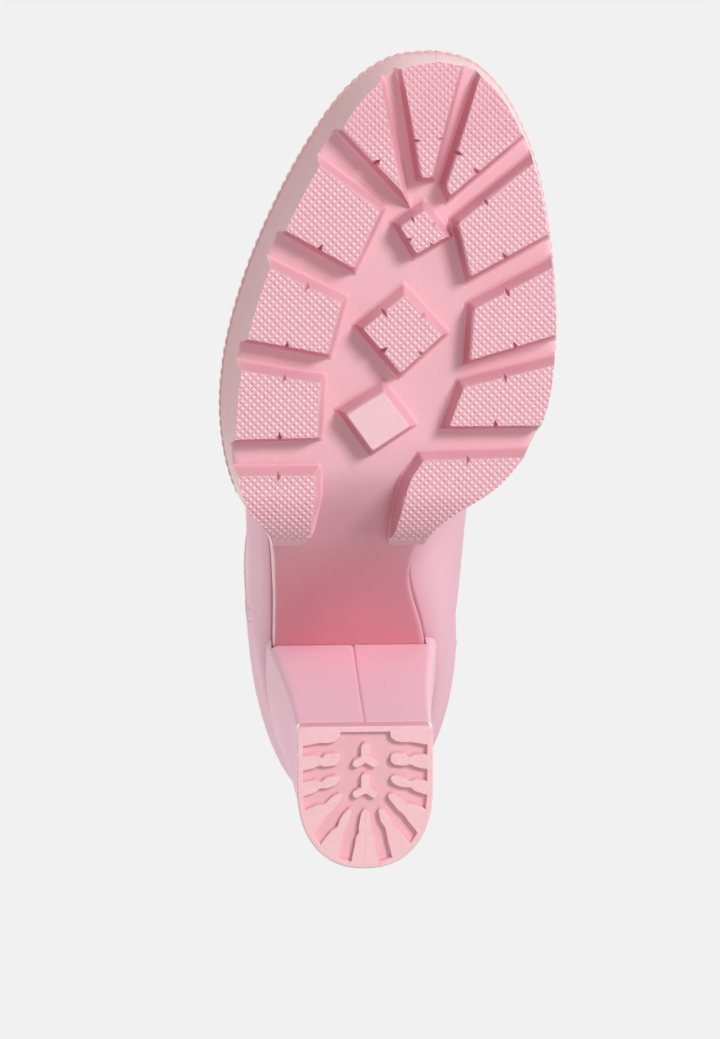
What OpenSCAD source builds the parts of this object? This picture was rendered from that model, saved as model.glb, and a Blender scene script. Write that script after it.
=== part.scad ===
// Heeled platform ankle boot, right foot, with a lugged sole, a wrapped block heel and an inner side zip.
// Toe towards -Y, inner side of the foot towards +X, standing on Z = 0. Millimetres.

/* [Sole] */
// Height of the platform under the ball of the foot
platform_h = 25; // [21:0.5:30]
// Depth of the tread lugs
lug_h = 7.5; // [4:0.5:9]
// Draft of a lug's walls, from its face to its root
lug_draft = 2.2; // [1:0.1:3]
// Set-back of the tread's edge inside the welt on the outer side
tread_inset = 5; // [3:0.5:7]
// Set-back of the tread's edge inside the welt at the toe and on the inner side
inner_inset = 2; // [1:0.5:5]
// Width of the V notches in the lugs
notch_w = 2; // [1.5:0.1:3]
// Thickness of the sole at the waist
waist_t = 5.5; // [4.5:0.5:7]
// Radius of the roll behind the rear lugs
rear_roll_r = 18; // [14:1:22]
// Radius of the roll under the toe
toe_roll_r = 150; // [100:10:300]
// Wall of the sole round its filler
sole_wall = 7; // [5:0.5:9]
// Floor of the sole under its filler
sole_floor = 4; // [2:0.5:6]

/* [Welt] */
// Height of the ribbed strip
welt_h = 6; // [4:0.5:7]
// Thickness of the ribbed strip at its ribs
welt_t = 1.8; // [1.2:0.1:2.5]
// Pitch of the ribs
rib_pitch = 3; // [2:0.25:6]
// Depth of the grooves between the ribs
rib_depth = 0.4; // [0.2:0.1:1]

/* [Heel] */
// Height of the heel seat above the ground, at the back
heel_h = 88; // [70:1:106]
// Width of the heel at its tip
heel_w = 39.2; // [33:0.2:44]
// Length of the heel at its tip
heel_len = 42; // [36:0.5:46]
// Thickness of the heel's wrap
cover_t = 1; // [0.6:0.1:1.5]
// Thickness of the heel tip
tip_t = 6; // [4:0.5:8]
// Depth of the tread recess in the heel tip
tip_recess = 1.6; // [0.8:0.1:2.5]
// Width of the heel tip's rim
tip_rim = 1.8; // [1.2:0.1:2.5]
// Diameter of the dowels in the heel tip
dowel_d = 3.2; // [2.5:0.1:4]
// Length of the dowels in the heel tip
dowel_len = 16; // [12:1:20]
// Diameter of the heel screw
screw_d = 5; // [4:0.25:6]
// Length of the heel screw
screw_len = 38; // [30:1:45]
// Diameter of the heel nails
nail_d = 2; // [1.5:0.1:2.5]
// Length of the heel nails
nail_len = 20; // [14:1:24]

/* [Upper] */
// Height of the shaft above the heel seat
shaft_h = 131; // [110:1:158]
// Thickness of the outer panels
outer_t = 1.2; // [0.9:0.1:1.5]
// Thickness of the toe and heel stiffeners
stiffener_t = 0.8; // [0.6:0.1:1]
// Thickness of the lining
lining_t = 0.8; // [0.6:0.1:1]
// Thickness of the edge binding
binding_t = 0.7; // [0.5:0.1:1]
// Depth of the edge binding
binding_h = 5; // [3:0.5:7]

/* [Insole] */
// Thickness of the insole board
board_t = 2.2; // [1.5:0.1:3]
// Thickness of the padded sock
sock_t = 3; // [2:0.25:4]
// Width of the steel shank
shank_w = 13; // [10:0.5:16]
// Thickness of the steel shank
shank_t = 1.6; // [1:0.1:2]

/* [Zip] */
// Width of the slot in the inner side of the shaft
slot_w = 13; // [12:0.5:17]
// Thickness of the zip tapes
tape_t = 0.6; // [0.4:0.1:0.7]
// Width of a zip tape
tape_w = 12; // [9:0.5:14]
// Pitch of the zip teeth
tooth_pitch = 2; // [1.5:0.25:3]
// Width of one row of teeth
tooth_w = 2.4; // [1.8:0.1:2.6]
// Thickness of the teeth
tooth_t = 2.5; // [2:0.1:2.6]
// Length of the slider
slider_len = 11; // [9:0.5:14]
// Width of the slider
slider_w = 9; // [8:0.25:10.5]
// Length of the puller
puller_len = 26; // [18:1:34]
// Width of the puller
puller_w = 7; // [5:0.5:8]
// Diameter of the puller's pivot pin
pivot_d = 1.6; // [1.2:0.1:2]

/* [Hidden] */
$fn = 48;
PINK = [0.93, 0.66, 0.72];
SOLE_PINK = [0.91, 0.62, 0.68];
TIP_PINK = [0.93, 0.62, 0.66];
LINING = [0.9, 0.78, 0.76];
BOARD = [0.7, 0.6, 0.48];
FOAM = [0.85, 0.84, 0.8];
STEEL = [0.62, 0.63, 0.65];

// Gap left between layers that are glued or sewn together
glue_gap = 0.2;
// Gap between the upper and what it sits on
seat_gap = 0.35;
// Radial clearance of a dowel, screw or nail in its hole
fit_gap = 0.05;
// Radial clearance of the puller on its pin
pivot_gap = 0.08;
// Gap round the moving slider
slide_gap = 0.3;

// Plan of the feather line, where the upper meets the sole: toe, then along each side to the back of the heel
heel_x = -7.6;
feather_outer = [
    [13, -117], [2, -115.5], [-9, -107.5], [-20, -92], [-30.5, -73], [-38, -53], [-42.5, -33], [-43, -14],
    [-40, 4], [-34.5, 18], [-32.6, 37], [-32, 58], [-32, 77], [-28.5, 94], [-20.5, 108.5], [-7.6, 116.5]];
feather_inner = [
    [13, -117], [22, -114.5], [30, -106], [37, -91], [41.5, -73], [43.4, -53], [43, -35], [39.5, -18.5],
    [30, -2], [13, 15], [8, 33], [13.5, 56], [16.5, 77], [13.5, 94.5], [5.5, 109], [-7.6, 116.5]];
// Ring numbers: the heel's back, the lasted end of the sole, and the topline
HEEL_K = 15;
TOP_K = 22;
// How far the welt stands out beyond the feather line, ring by ring
welt_reach = [5, 5, 5, 5, 4.5, 4.8, 5.2, 5.4, 4.2, 0.6, 0, 0, 0, 0, 0, 0];
// Rise of the foot bed from platform to heel seat, every 20 mm from Y = -40
bed_rise = [0, 0, 0.05, 0.25, 0.52, 0.76, 0.9, 0.975, 1];
// Rise of the sole's underside from the tread floor to the heel breast, every 20 mm from Y = -40
floor_rise = [0, 0, 0.02, 0.3, 0.7, 1, 1.17];
RISE_Y0 = -40;
RISE_STEP = 20;
// Heel breast at the seat and at the tip, and the sole's tail tucked behind it
breast_top_y = 58.2;
breast_tip_y = 70;
tail_y = 66;
// Ground contact runs flat between these two places
toe_roll_y = -90;
rear_roll_y = 2;

// Centre line of the upper's crest, ring by ring from the toe over the instep and up the shin
crest_plan = [[13, -117], [13, -118.6], [13, -116], [12, -105], [10.5, -88], [8.5, -69.5], [6.5, -53],
    [4.5, -40], [3, -31], [1.5, -24.5], [0, -19], [-1.5, -14], [-3, -9.5], [-4.2, -5.5], [-5.2, -2],
    [-6, 1.5], [-6.5, 5], [-7, 8.3], [-7.3, 11], [-7.5, 13], [-7.5, 14.7], [-7.5, 16], [-7.5, 17]];
// Height of the crest above the foot bed, up to the instep ring
crest_rise = [0, 10.6, 24.6, 36.2, 44.6, 52.6, 60.8, 67.7, 69.2, 65.4, 54.9, 44, 40.1, 41.2, 46.1, 52.8];
// Share of the way up the shaft, at the shin and down the back seam, from the heel ring to the topline
shin_share = [0, 0.1, 0.215, 0.35, 0.5, 0.665, 0.835, 1];
back_share = [0, 0.09, 0.2, 0.335, 0.49, 0.655, 0.825, 1];
back_y = [116.5, 120.2, 121.9, 120.6, 117, 113.7, 112.3, 112.5];
front_rise = 3.5;
// Sideways reach of the lower and upper handles of each ring's curve
belly_outer = [
    13, 1, -10.5, -22.5, -33.5, -41.5, -46, -48.5, -49.5, -49.5, -48.5, -46.5, -44.5, -43.5, -46, -48.5,
    -48.5, -48.5, -48, -47, -46, -45.5, -45];
crest_outer = [
    13, 6.5, -1, -8, -14.5, -20, -24, -27.5, -31.5, -34.5, -37.5, -38.5, -39.5, -40, -40.5, -41.5, -42.5,
    -44, -45.5, -46.5, -46, -45.5, -45];
belly_inner = [13, 23.5, 32, 39.5, 43.5, 46, 46.5, 46.5, 44, 42.5, 41, 37.5, 34.5, 33.5, 36, 40.5,
    43, 42, 41, 40, 40, 40, 40];
crest_inner = [13, 19, 24, 28, 30.5, 31.5, 31, 30.5, 31.5, 32.5, 33, 32, 30.5, 30.5, 31, 35,
    37, 38, 39, 40, 40, 40, 40];
// Height of the lower handle as a share of the ring
belly_share = [0.6, 0.6, 0.6, 0.62, 0.62, 0.62, 0.62, 0.58, 0.5, 0.43, 0.39, 0.36, 0.33, 0.27, 0.15, 0,
    0, 0, 0, 0, 0, 0, 0];
// Extra lift of the lower handle round the back of the heel
belly_lift = [0, 0, 0, 0, 0, 0, 0, 0, 0, 0, 1, 3, 7, 12, 18, 24, 18, 11, 5, 1, 0, 0, 0];

// Side seams leave the feather line at this ring, and reach the middle of the shaft's sides
SEAM_K = 7.6;
seam_share = [0, 0.24, 0.37, 0.44, 0.48, 0.5];
// The zip's slot opens at this ring
SLOT_K = 15.6;
SLOT_RAMP = 0.3;
zip_y = 64;

// Rings of the panels' meshes
TOE_KS = [0, 0.25, 0.5, 0.8, 1.2, 1.6, 2, 2.5, 3, 4, 5, 6, 7];
REAR_KS = [SEAM_K, 8.2, 9, 10, 11, 12, 13, 14, HEEL_K, SLOT_K, SLOT_K + SLOT_RAMP, 17, 18, 19, 20, 21, TOP_K];
VAMP_COLS = 9;
QUARTER_COLS = 7;

// Points of a smooth curve through control points, counted in points
function near(i, n) = max(0, min(n - 1, i));
function spline(p, t) =
    let (i = near(floor(t), len(p) - 1), f = t - i)
    let (a = p[near(i - 1, len(p))], b = p[i], c = p[i + 1], d = p[near(i + 2, len(p))])
    0.5 * (2 * b + (c - a) * f + (2 * a - 5 * b + 4 * c - d) * f * f + (3 * b - a - 3 * c + d) * f * f * f);
function mix(a, b, f) = a + (b - a) * f;
function unit(v) = v / norm(v);
function flat(rows) = [for (r = rows) each r];
function rise(list, y) = spline(list, max(0, min(len(list) - 1, (y - RISE_Y0) / RISE_STEP)));

// Foot bed, underside of the sole, and the heights that hang on them
function bed_z(y) = platform_h + (heel_h - platform_h) * rise(bed_rise, y);
breast_z = bed_z(breast_top_y) - waist_t;
function floor_z(y) = lug_h + (breast_z - lug_h) * rise(floor_rise, y);
seat_z = bed_z(116.5);
instep_h = crest_rise[HEEL_K];

// Sole outline at ring k, side s (-1 outer, +1 inner), moved out from the feather line by some distance
function feather(s, k) = spline(s < 0 ? feather_outer : feather_inner, k);
function edge(s, k, out) =
    let (d = unit(feather(s, k + 0.05) - feather(s, max(0, k - 0.05))))
    feather(s, k) + out * s * [d.y, -d.x];
function welt_edge(s, k, out) = edge(s, k, spline(welt_reach, k) + out);

// One ring of the upper: foot or back seam, crest, and the curve between them, v from 0 to 1
function ring_foot(s, k) = k < HEEL_K
    ? let (p = feather(s, k)) [p.x, p.y, bed_z(p.y) + seat_gap]
    : [heel_x, spline(back_y, k - HEEL_K), seat_z + seat_gap + shaft_h * spline(back_share, k - HEEL_K)];
function ring_crest(k) =
    let (p = spline(crest_plan, k))
    k < HEEL_K
        ? [p.x, p.y, bed_z(feather(-1, k).y) + seat_gap + spline(crest_rise, k)]
        : [p.x, p.y, seat_z + seat_gap + mix(instep_h, shaft_h + front_rise, spline(shin_share, k - HEEL_K))];
function bezier(a, b, c, d, v) =
    let (w = 1 - v)
    w * w * w * a + 3 * w * w * v * b + 3 * w * v * v * c + v * v * v * d;
function ring(s, k, v) =
    let (f = ring_foot(s, k), r = ring_crest(k), h = (r - f) * spline(belly_share, k))
    bezier(f, [spline(s < 0 ? belly_outer : belly_inner, k), f.y + h.y, f.z + h.z + spline(belly_lift, k)],
        [spline(s < 0 ? crest_outer : crest_inner, k), r.y, r.z], r, v);
// Round the back of the heel each ring is averaged with its neighbours, to round the corner under the seam
EASE_K = 1.5;
EASE_V = 0.12;
EASE_TAPS = [1, 2, 3, 2, 1];
function ease(k, v) = 0.43 * EASE_K * min(1, v / EASE_V) * max(0, 1 - abs(k - HEEL_K) / (2.2 * EASE_K));
function blend(s, k, v, step, i = 0) = i > 4
    ? [0, 0, 0]
    : EASE_TAPS[i] / 9 * ring(s, min(TOP_K, k + step * (i - 2)), v) + blend(s, k, v, step, i + 1);
function skin(s, k, v) =
    let (step = ease(k, v))
    step > 0 ? blend(s, k, v, step) : ring(s, k, v);
// Outward normal of the upper: level along the feather line, in the middle plane on the crest and back seam
function skin_normal(s, k, v) =
    let (e = 0.01, k0 = max(0.1, k))
    let (dv = skin(s, k0, min(1, v + e)) - skin(s, k0, max(0, v - e)))
    let (dk = skin(s, min(TOP_K, k0 + e), v) - skin(s, k0 - e, v))
    let (n = -s * cross(dv, dk))
    k <= 0 ? [0, -1, 0]
        : unit(v > 0.999 || (v < 0.001 && k >= HEEL_K) ? [0, n.y, n.z] : v < 0.001 ? [n.x, n.y, 0] : n);
function layer(s, k, v, depth) = skin(s, k, v) - depth * skin_normal(s, k, v);
function layer_row(k, cols, depth) = [for (c = cols) layer(c[0], k, c[1], depth)];

// Seams: where the vamp meets each quarter, and the two edges of the zip's slot
function seam_v(k) = spline(seam_share, max(0, min(5, k - SEAM_K)));
function zip_v(k, off) =
    let (b = ring_foot(1, k).y, r = ring_crest(k).y)
    0.5 + ((b + r) / 2 - zip_y - off) / (1.5 * (b - r));
function slot_half(k) = slot_w / 2 * max(0, min(1, (k - SLOT_K) / SLOT_RAMP));
function inner_seam_v(k, side) = k < SLOT_K ? seam_v(k) : zip_v(k, side * slot_half(k));
function vamp_cols(k) = concat(
    [for (j = [0 : VAMP_COLS]) [-1, mix(seam_v(k), 1, j / VAMP_COLS)]],
    [for (j = [1 : VAMP_COLS]) [1, mix(1, inner_seam_v(k, -1), j / VAMP_COLS)]]);
function outer_quarter_cols(k) = [for (j = [0 : QUARTER_COLS]) [-1, seam_v(k) * j / QUARTER_COLS]];
function inner_quarter_cols(k) =
    [for (j = [QUARTER_COLS : -1 : 0]) [1, inner_seam_v(k, 1) * j / QUARTER_COLS]];

// Depths of the layers of the upper, measured inwards from its face
stiffener_d = outer_t + glue_gap;
lining_d = stiffener_d + stiffener_t + glue_gap;
upper_d = lining_d + lining_t;
// Place of the zip: the middle of its slot on the shaft's face
zip_x = skin(1, 19, zip_v(19, 0)).x;
zip_bottom_z = skin(1, SLOT_K + SLOT_RAMP, 0.5).z + 3;
zip_top_z = skin(1, TOP_K, 0.5).z - binding_h - 1;
tooth_gap = 1.2;
stop_h = 3;
chain_half = tooth_gap / 2 + tooth_w;
tape_d = stiffener_d;
tooth_d = tape_d + tape_t / 2 - tooth_t / 2;
slider_top_z = zip_top_z - stop_h - slide_gap;
plate_t = 1.3;
web_w = 0.6;
ear_w = 1.2;
pivot_out = 1.9;
puller_t = 1.4;
eye_d = 3.4;

// Closed solid between two grids of points: rows from toe to top, columns from the outer to the inner side;
// pole makes the first row one single point, flip splits the mesh along its other diagonal
module shell(outer, inner, pole = false, flip = false) {
    m = len(outer);
    n = len(outer[0]);
    function id(i, j, b) = b * m * n + (pole && i == 0 ? 0 : i * n + j);
    function quad(a, b, c, d, tip) = tip ? [[a, b, c]]
        : flip ? [[a, b, d], [b, c, d]]
        : [[a, b, c], [a, c, d]];
    function back(t) = [for (f = t) [f[2], f[1], f[0]]];
    sides = [for (i = [0 : m - 2]) for (j = [0 : n - 2]) each concat(
        quad(id(i, j, 0), id(i + 1, j, 0), id(i + 1, j + 1, 0), id(i, j + 1, 0), pole && i == 0),
        back(quad(id(i, j, 1), id(i + 1, j, 1), id(i + 1, j + 1, 1), id(i, j + 1, 1), pole && i == 0)))];
    rims = [for (i = [0 : m - 2]) each [
        [id(i + 1, 0, 0), id(i, 0, 0), id(i, 0, 1)],
        [id(i + 1, 0, 0), id(i, 0, 1), id(i + 1, 0, 1)],
        [id(i, n - 1, 0), id(i + 1, n - 1, 0), id(i + 1, n - 1, 1)],
        [id(i, n - 1, 0), id(i + 1, n - 1, 1), id(i, n - 1, 1)]]];
    ends = [for (j = [0 : n - 2]) each [
        [id(m - 1, j + 1, 0), id(m - 1, j, 0), id(m - 1, j, 1)],
        [id(m - 1, j + 1, 0), id(m - 1, j, 1), id(m - 1, j + 1, 1)],
        if (!pole) [id(0, j, 0), id(0, j + 1, 0), id(0, j + 1, 1)],
        if (!pole) [id(0, j, 0), id(0, j + 1, 1), id(0, j, 1)]]];
    polyhedron(concat(flat(outer), flat(inner)), concat(sides, rims, ends));
}

// Solid through loops stacked from bottom to top; point i of a loop faces point n-1-i across it
module loop_loft(loops) {
    n = len(loops[0]);
    top = (len(loops) - 1) * n;
    walls = [for (l = [0 : len(loops) - 2]) for (i = [0 : n - 1]) let (a = l * n, j = (i + 1) % n) each [
        [a + i, a + j, a + n + j],
        [a + i, a + n + j, a + n + i]]];
    caps = [for (i = [0 : n / 2 - 2]) let (p = n - 1 - i) each [
        [top + i, top + i + 1, top + p - 1],
        [top + i, top + p - 1, top + p],
        [p, p - 1, i + 1],
        [p, i + 1, i]]];
    polyhedron(flat(loops), concat(walls, caps));
}

// Tube between stacked outer loops and stacked inner loops
module tube_loft(outer, inner) {
    n = len(outer[0]);
    levels = len(outer);
    base = levels * n;
    walls = [for (l = [0 : levels - 2]) for (i = [0 : n - 1])
        let (a = l * n, b = base + a, j = (i + 1) % n) each [
        [a + i, a + j, a + n + j],
        [a + i, a + n + j, a + n + i],
        [b + n + j, b + j, b + i],
        [b + n + i, b + n + j, b + i]]];
    top = (levels - 1) * n;
    rims = [for (i = [0 : n - 1]) let (j = (i + 1) % n) each [
        [j, i, base + i],
        [j, base + i, base + j],
        [top + i, top + j, base + top + j],
        [top + i, base + top + j, base + top + i]]];
    polyhedron(concat(flat(outer), flat(inner)), concat(walls, rims));
}

// Bar with a section carried along a path; caps lists the triangles that close its ends
module swept(sections, caps) {
    n = len(sections[0]);
    last = (len(sections) - 1) * n;
    walls = [for (l = [0 : len(sections) - 2]) for (i = [0 : n - 1]) let (a = l * n, j = (i + 1) % n) each [
        [a + i, a + j, a + n + j],
        [a + i, a + n + j, a + n + i]]];
    start = [for (c = caps) [c[2], c[1], c[0]]];
    end = [for (c = caps) [last + c[0], last + c[1], last + c[2]]];
    polyhedron(flat(sections), concat(walls, start, end));
}

// Loop round the sole between two rings, moved out from the feather line, at a height that follows a rule:
// along the outer side to the heel and back along the inner side
function sole_ks(k0, k1, step) =
    let (n = ceil((k1 - k0) / step))
    [for (i = [0 : n]) mix(k0, k1, i / n)];
function bed_loop(ks, out, lift) = concat(
    [for (k = ks) let (p = edge(-1, k, out)) [p.x, p.y, bed_z(p.y) + lift]],
    [for (i = [len(ks) - 1 : -1 : 0]) let (p = edge(1, ks[i], out)) [p.x, p.y, bed_z(p.y) + lift]]);

// Sole body: underside, the foot of the welt, and the foot bed
TAIL_K = 11.4;
// Rings of the sole, closer together where the welt ends on the inner side
SOLE_KS = concat([0, 0.3, 0.6], sole_ks(1, 6.6, 0.4), sole_ks(6.8, 8.8, 0.2), sole_ks(9.2, TAIL_K, 0.4));
WALL_INSET = 0.5;
INSET_K = 2.5;
WAIST_INSET = 0.3;
LEDGE = 0.2;
function wall_z(y) = bed_z(y) - min(welt_h + glue_gap, 0.6 * (bed_z(y) - floor_z(y)));
// Set-back of the tread, reach of the leaning wall at a height, and share of the waist, where the seat has faded
function tread_in(s, k) = s > 0 ? inner_inset : mix(inner_inset, tread_inset, min(1, k / INSET_K));
function wall_out(s, k, z) = mix(-tread_in(s, k), -WALL_INSET, z / (platform_h - welt_h));
function waist_share(k) = let (t = min(1, max(0, (k - 8.2) / 0.9))) t * t * (3 - 2 * t);
function sole_out(s, k, level) =
    let (low = level == 0 ? wall_out(s, k, lug_h) : level == 1 ? -WALL_INSET : -welt_t - glue_gap)
    let (waist = level == 1 ? -WAIST_INSET : -WAIST_INSET - LEDGE)
    mix(low, waist, waist_share(k));
function sole_loop(level) = concat(
    [for (k = SOLE_KS) let (p = welt_edge(-1, k, sole_out(-1, k, level))) [p.x, p.y, sole_level(p.y, level)]],
    [for (i = [len(SOLE_KS) - 1 : -1 : 0])
        let (k = SOLE_KS[i], p = welt_edge(1, k, sole_out(1, k, level))) [p.x, p.y, sole_level(p.y, level)]]);
function sole_level(y, level) = level == 0 ? floor_z(y) : level == 3 ? bed_z(y) : wall_z(y);
module sole_body() {
    loop_loft([for (level = [0 : 3]) sole_loop(level)]);
}

// Lug faces: corners on the ground, running past the tread's edge on the outer end
side_lugs = [
    [[-3.5, -113.5], [-8, -122], [-25, -106], [-14.5, -102.5], [2.5, -84.5]],
    [[-21, -91.5], [-30, -98], [-42, -80], [-30.5, -73.5], [-11, -62.5], [-3.5, -78.5]],
    [[-34.5, -62.5], [-50, -69.5], [-54, -44.5], [-41.5, -42.5], [-18.5, -38], [-14.5, -52.5]],
    [[-44, -33.5], [-54, -35.5], [-54, -13.5], [-21.5, -14], [-20.5, -29.5]],
    [[-54, -3], [-47, 14], [-40, 18], [-28.5, 18.5], [-24.5, 14], [-22, 4], [-22, -3]],
    [[3.5, -118.5], [3, -126], [20.5, -126], [18.5, -118], [11, -88], [8.5, -88]],
    [[25, -114.5], [30, -122], [48, -109], [36.5, -100], [16.5, -83], [15.5, -85.5]],
    [[19, -75], [39, -91], [50, -100.5], [56, -78], [44.5, -72], [22.5, -60]],
    [[23.5, -50.5], [44.5, -61.5], [56, -67.5], [58, -46.5], [46.5, -43], [22.5, -36]],
    [[20.5, -28], [45.5, -34], [58, -37], [54, -17], [16.5, -17]],
    [[9, -7], [50, -8], [36, 12], [20, 18], [9, 20], [4, 23], [2, 23], [3, 10], [4.2, 2.5], [5.5, -1.5]]];
diamond_lugs = [
    [[2.5, -74], [9, -78.5], [15, -71], [7, -66.5]],
    [[-8, -45], [3.5, -54.5], [14, -43], [2.5, -32.5]],
    [[-13, -20.5], [-2.5, -27], [5, -17], [-5.5, -10]]];
// V notches: place of the tip, and the way it opens
notches = [
    [[-3, -93.5], 137], [[-19.5, -69.5], 119], [[-25, -55.5], -63], [[-29.5, -42], 101], [[-31, -29.5], -80],
    [[-32, -16], 90], [[-32.5, -1], -90], [[8.5, -98.5], 171], [[12, -99], 14], [[20.5, -94], -162],
    [[22.5, -91], 50], [[27.5, -79.5], -129], [[31, -67], 61], [[33.5, -53.5], -118], [[34.5, -41.5], 74],
    [[32.5, -29], -103], [[29.5, -19], 90], [[21.5, -5.5], -90],
    [[6.5, -75], -125], [[11, -74], -40], [[10.5, -70], 60], [[6, -71], 150],
    [[-1, -48], -130], [[7.5, -47.5], -42], [[7, -39], 48], [[-1, -40], 140]];

module lug(face) {
    root = lug_h + 0.5;
    hull() {
        linear_extrude(0.01) polygon(face);
        translate([0, 0, root]) linear_extrude(0.01) offset(delta = lug_draft) polygon(face);
    }
}

// Tall roots of the two rear lugs: past ROOT_Y they follow the climbing underside
ROOT_Y = 10;
ROOT_RISE = 4;
// Tall lug at the rear, where the underside climbs away from the ground
module tread() {
    intersection() {
        union() {
            for (f = side_lugs) lug(f);
            for (f = diamond_lugs) lug(f);
            rear_lug_root(side_lugs[4]);
            rear_lug_root(side_lugs[10]);
        }
        tread_limit();
    }
}
module rear_lug_root(face) {
    translate([0, 0, lug_h]) linear_extrude(platform_h - lug_h - 2) offset(delta = lug_draft) polygon(face);
    translate([0, 0, lug_h + 1]) linear_extrude(platform_h - lug_h + ROOT_RISE - 1) intersection() {
        offset(delta = lug_draft - 0.2) polygon(face);
        translate([-100, ROOT_Y]) square([200, 40]);
    }
}

// Space that the lugs may fill: inside the tread's edge, above the ground's flat and its two rolls
module tread_limit() {
    reach = 200;
    intersection() {
        tread_edge();
        rotate([90, 0, 90]) linear_extrude(reach, center = true) union() {
            translate([toe_roll_y, 0]) square([rear_roll_y - toe_roll_y, platform_h]);
            intersection() {
                translate([toe_roll_y, toe_roll_r]) circle(toe_roll_r, $fn = 360);
                translate([-reach, 0]) square([reach, platform_h]);
            }
            intersection() {
                translate([rear_roll_y, rear_roll_r]) circle(rear_roll_r, $fn = 64);
                square([reach, platform_h + ROOT_RISE]);
            }
            translate([0, rear_roll_r])
                square([rear_roll_y + rear_roll_r, platform_h + ROOT_RISE - rear_roll_r]);
        }
    }
}
// Outer ends of the lugs stand a little proud of the side wall
LUG_PROUD = 0.15;
module tread_edge() {
    ks = [for (k = SOLE_KS) if (k < 10) k];
    function point(s, k, z, leans) =
        let (p = welt_edge(s, k, leans ? wall_out(s, k, z) + LUG_PROUD : -welt_t - 1)) [p.x, p.y, z];
    function at(z, leans) = concat(
        [for (k = ks) point(-1, k, z, leans)],
        [for (i = [len(ks) - 1 : -1 : 0]) point(1, ks[i], z, leans)]);
    seat = platform_h - welt_h - 0.5;
    loop_loft([
        at(-1, true),
        at(seat, true),
        at(seat + 0.2, false),
        at(platform_h + ROOT_RISE + 1, false)]);
}
// Wedge cut into a lug's rim: its tip runs out as it rises
NOTCH_H = 4;
NOTCH_SLOPE = 0.8;
module notch(at, turn) {
    end = 3 * notch_w;
    translate([at.x, at.y, 0]) rotate(turn) hull() for (z = [-1, NOTCH_H]) let (tip = z * NOTCH_SLOPE)
        translate([0, 0, z]) linear_extrude(0.01)
            polygon([[tip, 0], [end, (end - tip) / 2], [end, (tip - end) / 2]]);
}

// Filler block in the platform, and its pocket in the sole
FILLER_KS = sole_ks(0.7, 7.2, 0.5);
module filler_solid(grow, top) {
    function at(z) = concat(
        [for (k = FILLER_KS) let (p = edge(-1, k, grow - sole_wall)) [p.x, p.y, z]],
        [for (i = [len(FILLER_KS) - 1 : -1 : 0])
            let (p = edge(1, FILLER_KS[i], grow - sole_wall)) [p.x, p.y, z]]);
    loop_loft([at(lug_h + sole_floor - grow), at(platform_h + top)]);
}

// Steel shank along the waist, and its groove in the sole
SHANK_X = -9.5;
SHANK_YS = [for (y = [8 : 4 : 60]) y];
module shank_solid(grow, top) {
    function at(lift) = concat(
        [for (y = SHANK_YS) [SHANK_X - shank_w / 2 - grow, y, bed_z(y) + lift]],
        [for (i = [len(SHANK_YS) - 1 : -1 : 0])
            let (y = SHANK_YS[i]) [SHANK_X + shank_w / 2 + grow, y, bed_z(y) + lift]]);
    loop_loft([at(-shank_t - glue_gap - grow), at(top)]);
}

module lug_outsole() {
    color(SOLE_PINK) difference() {
        union() {
            sole_body();
            tread();
        }
        for (n = notches) notch(n[0], n[1]);
        filler_solid(glue_gap, 1);
        shank_solid(glue_gap, 1);
    }
}

module platform_filler() {
    color(FOAM) filler_solid(0, -glue_gap);
}

module steel_shank() {
    color(STEEL) shank_solid(0, -glue_gap);
}

// Ribbed strip: ribs at an even pitch along the welt line of each side, from the toe back
WELT_END_K = 8.1;
function run_table(s) = [for (k = 0, run = 0; k <= WELT_END_K + 0.05;
    run = run + norm(welt_edge(s, k + 0.05, 0) - welt_edge(s, k, 0)), k = k + 0.05) [run, k]];
function rib_stations(s) =
    let (table = run_table(s), ribs = floor(table[len(table) - 1][0] / rib_pitch))
    [for (r = [0 : ribs - 1]) for (f = [[0, 1], [0.3, 0], [0.7, 0]])
        [s, lookup((r + f[0]) * rib_pitch, table), f[1]]];
function welt_section(q) =
    let (face = welt_edge(q[0], q[1], -rib_depth * q[2]), back = welt_edge(q[0], q[1], -welt_t))
    let (zf = bed_z(face.y), zb = bed_z(back.y))
    [[back.x, back.y, zb - glue_gap], [face.x, face.y, zf - glue_gap],
        [face.x, face.y, zf - welt_h], [back.x, back.y, zb - welt_h]];
module ribbed_welt() {
    outer = rib_stations(-1);
    inner = rib_stations(1);
    stations = concat([for (i = [len(outer) - 1 : -1 : 1]) outer[i]], [for (q = inner) q]);
    color(SOLE_PINK) swept([for (q = stations) welt_section(q)], [[0, 1, 2], [0, 2, 3]]);
}

// Heel: D-shaped sections from tip to seat
SEAT_W = 51.5;
SEAT_BACK_Y = 116.2;
heel_back_y = breast_tip_y + heel_len;
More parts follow.
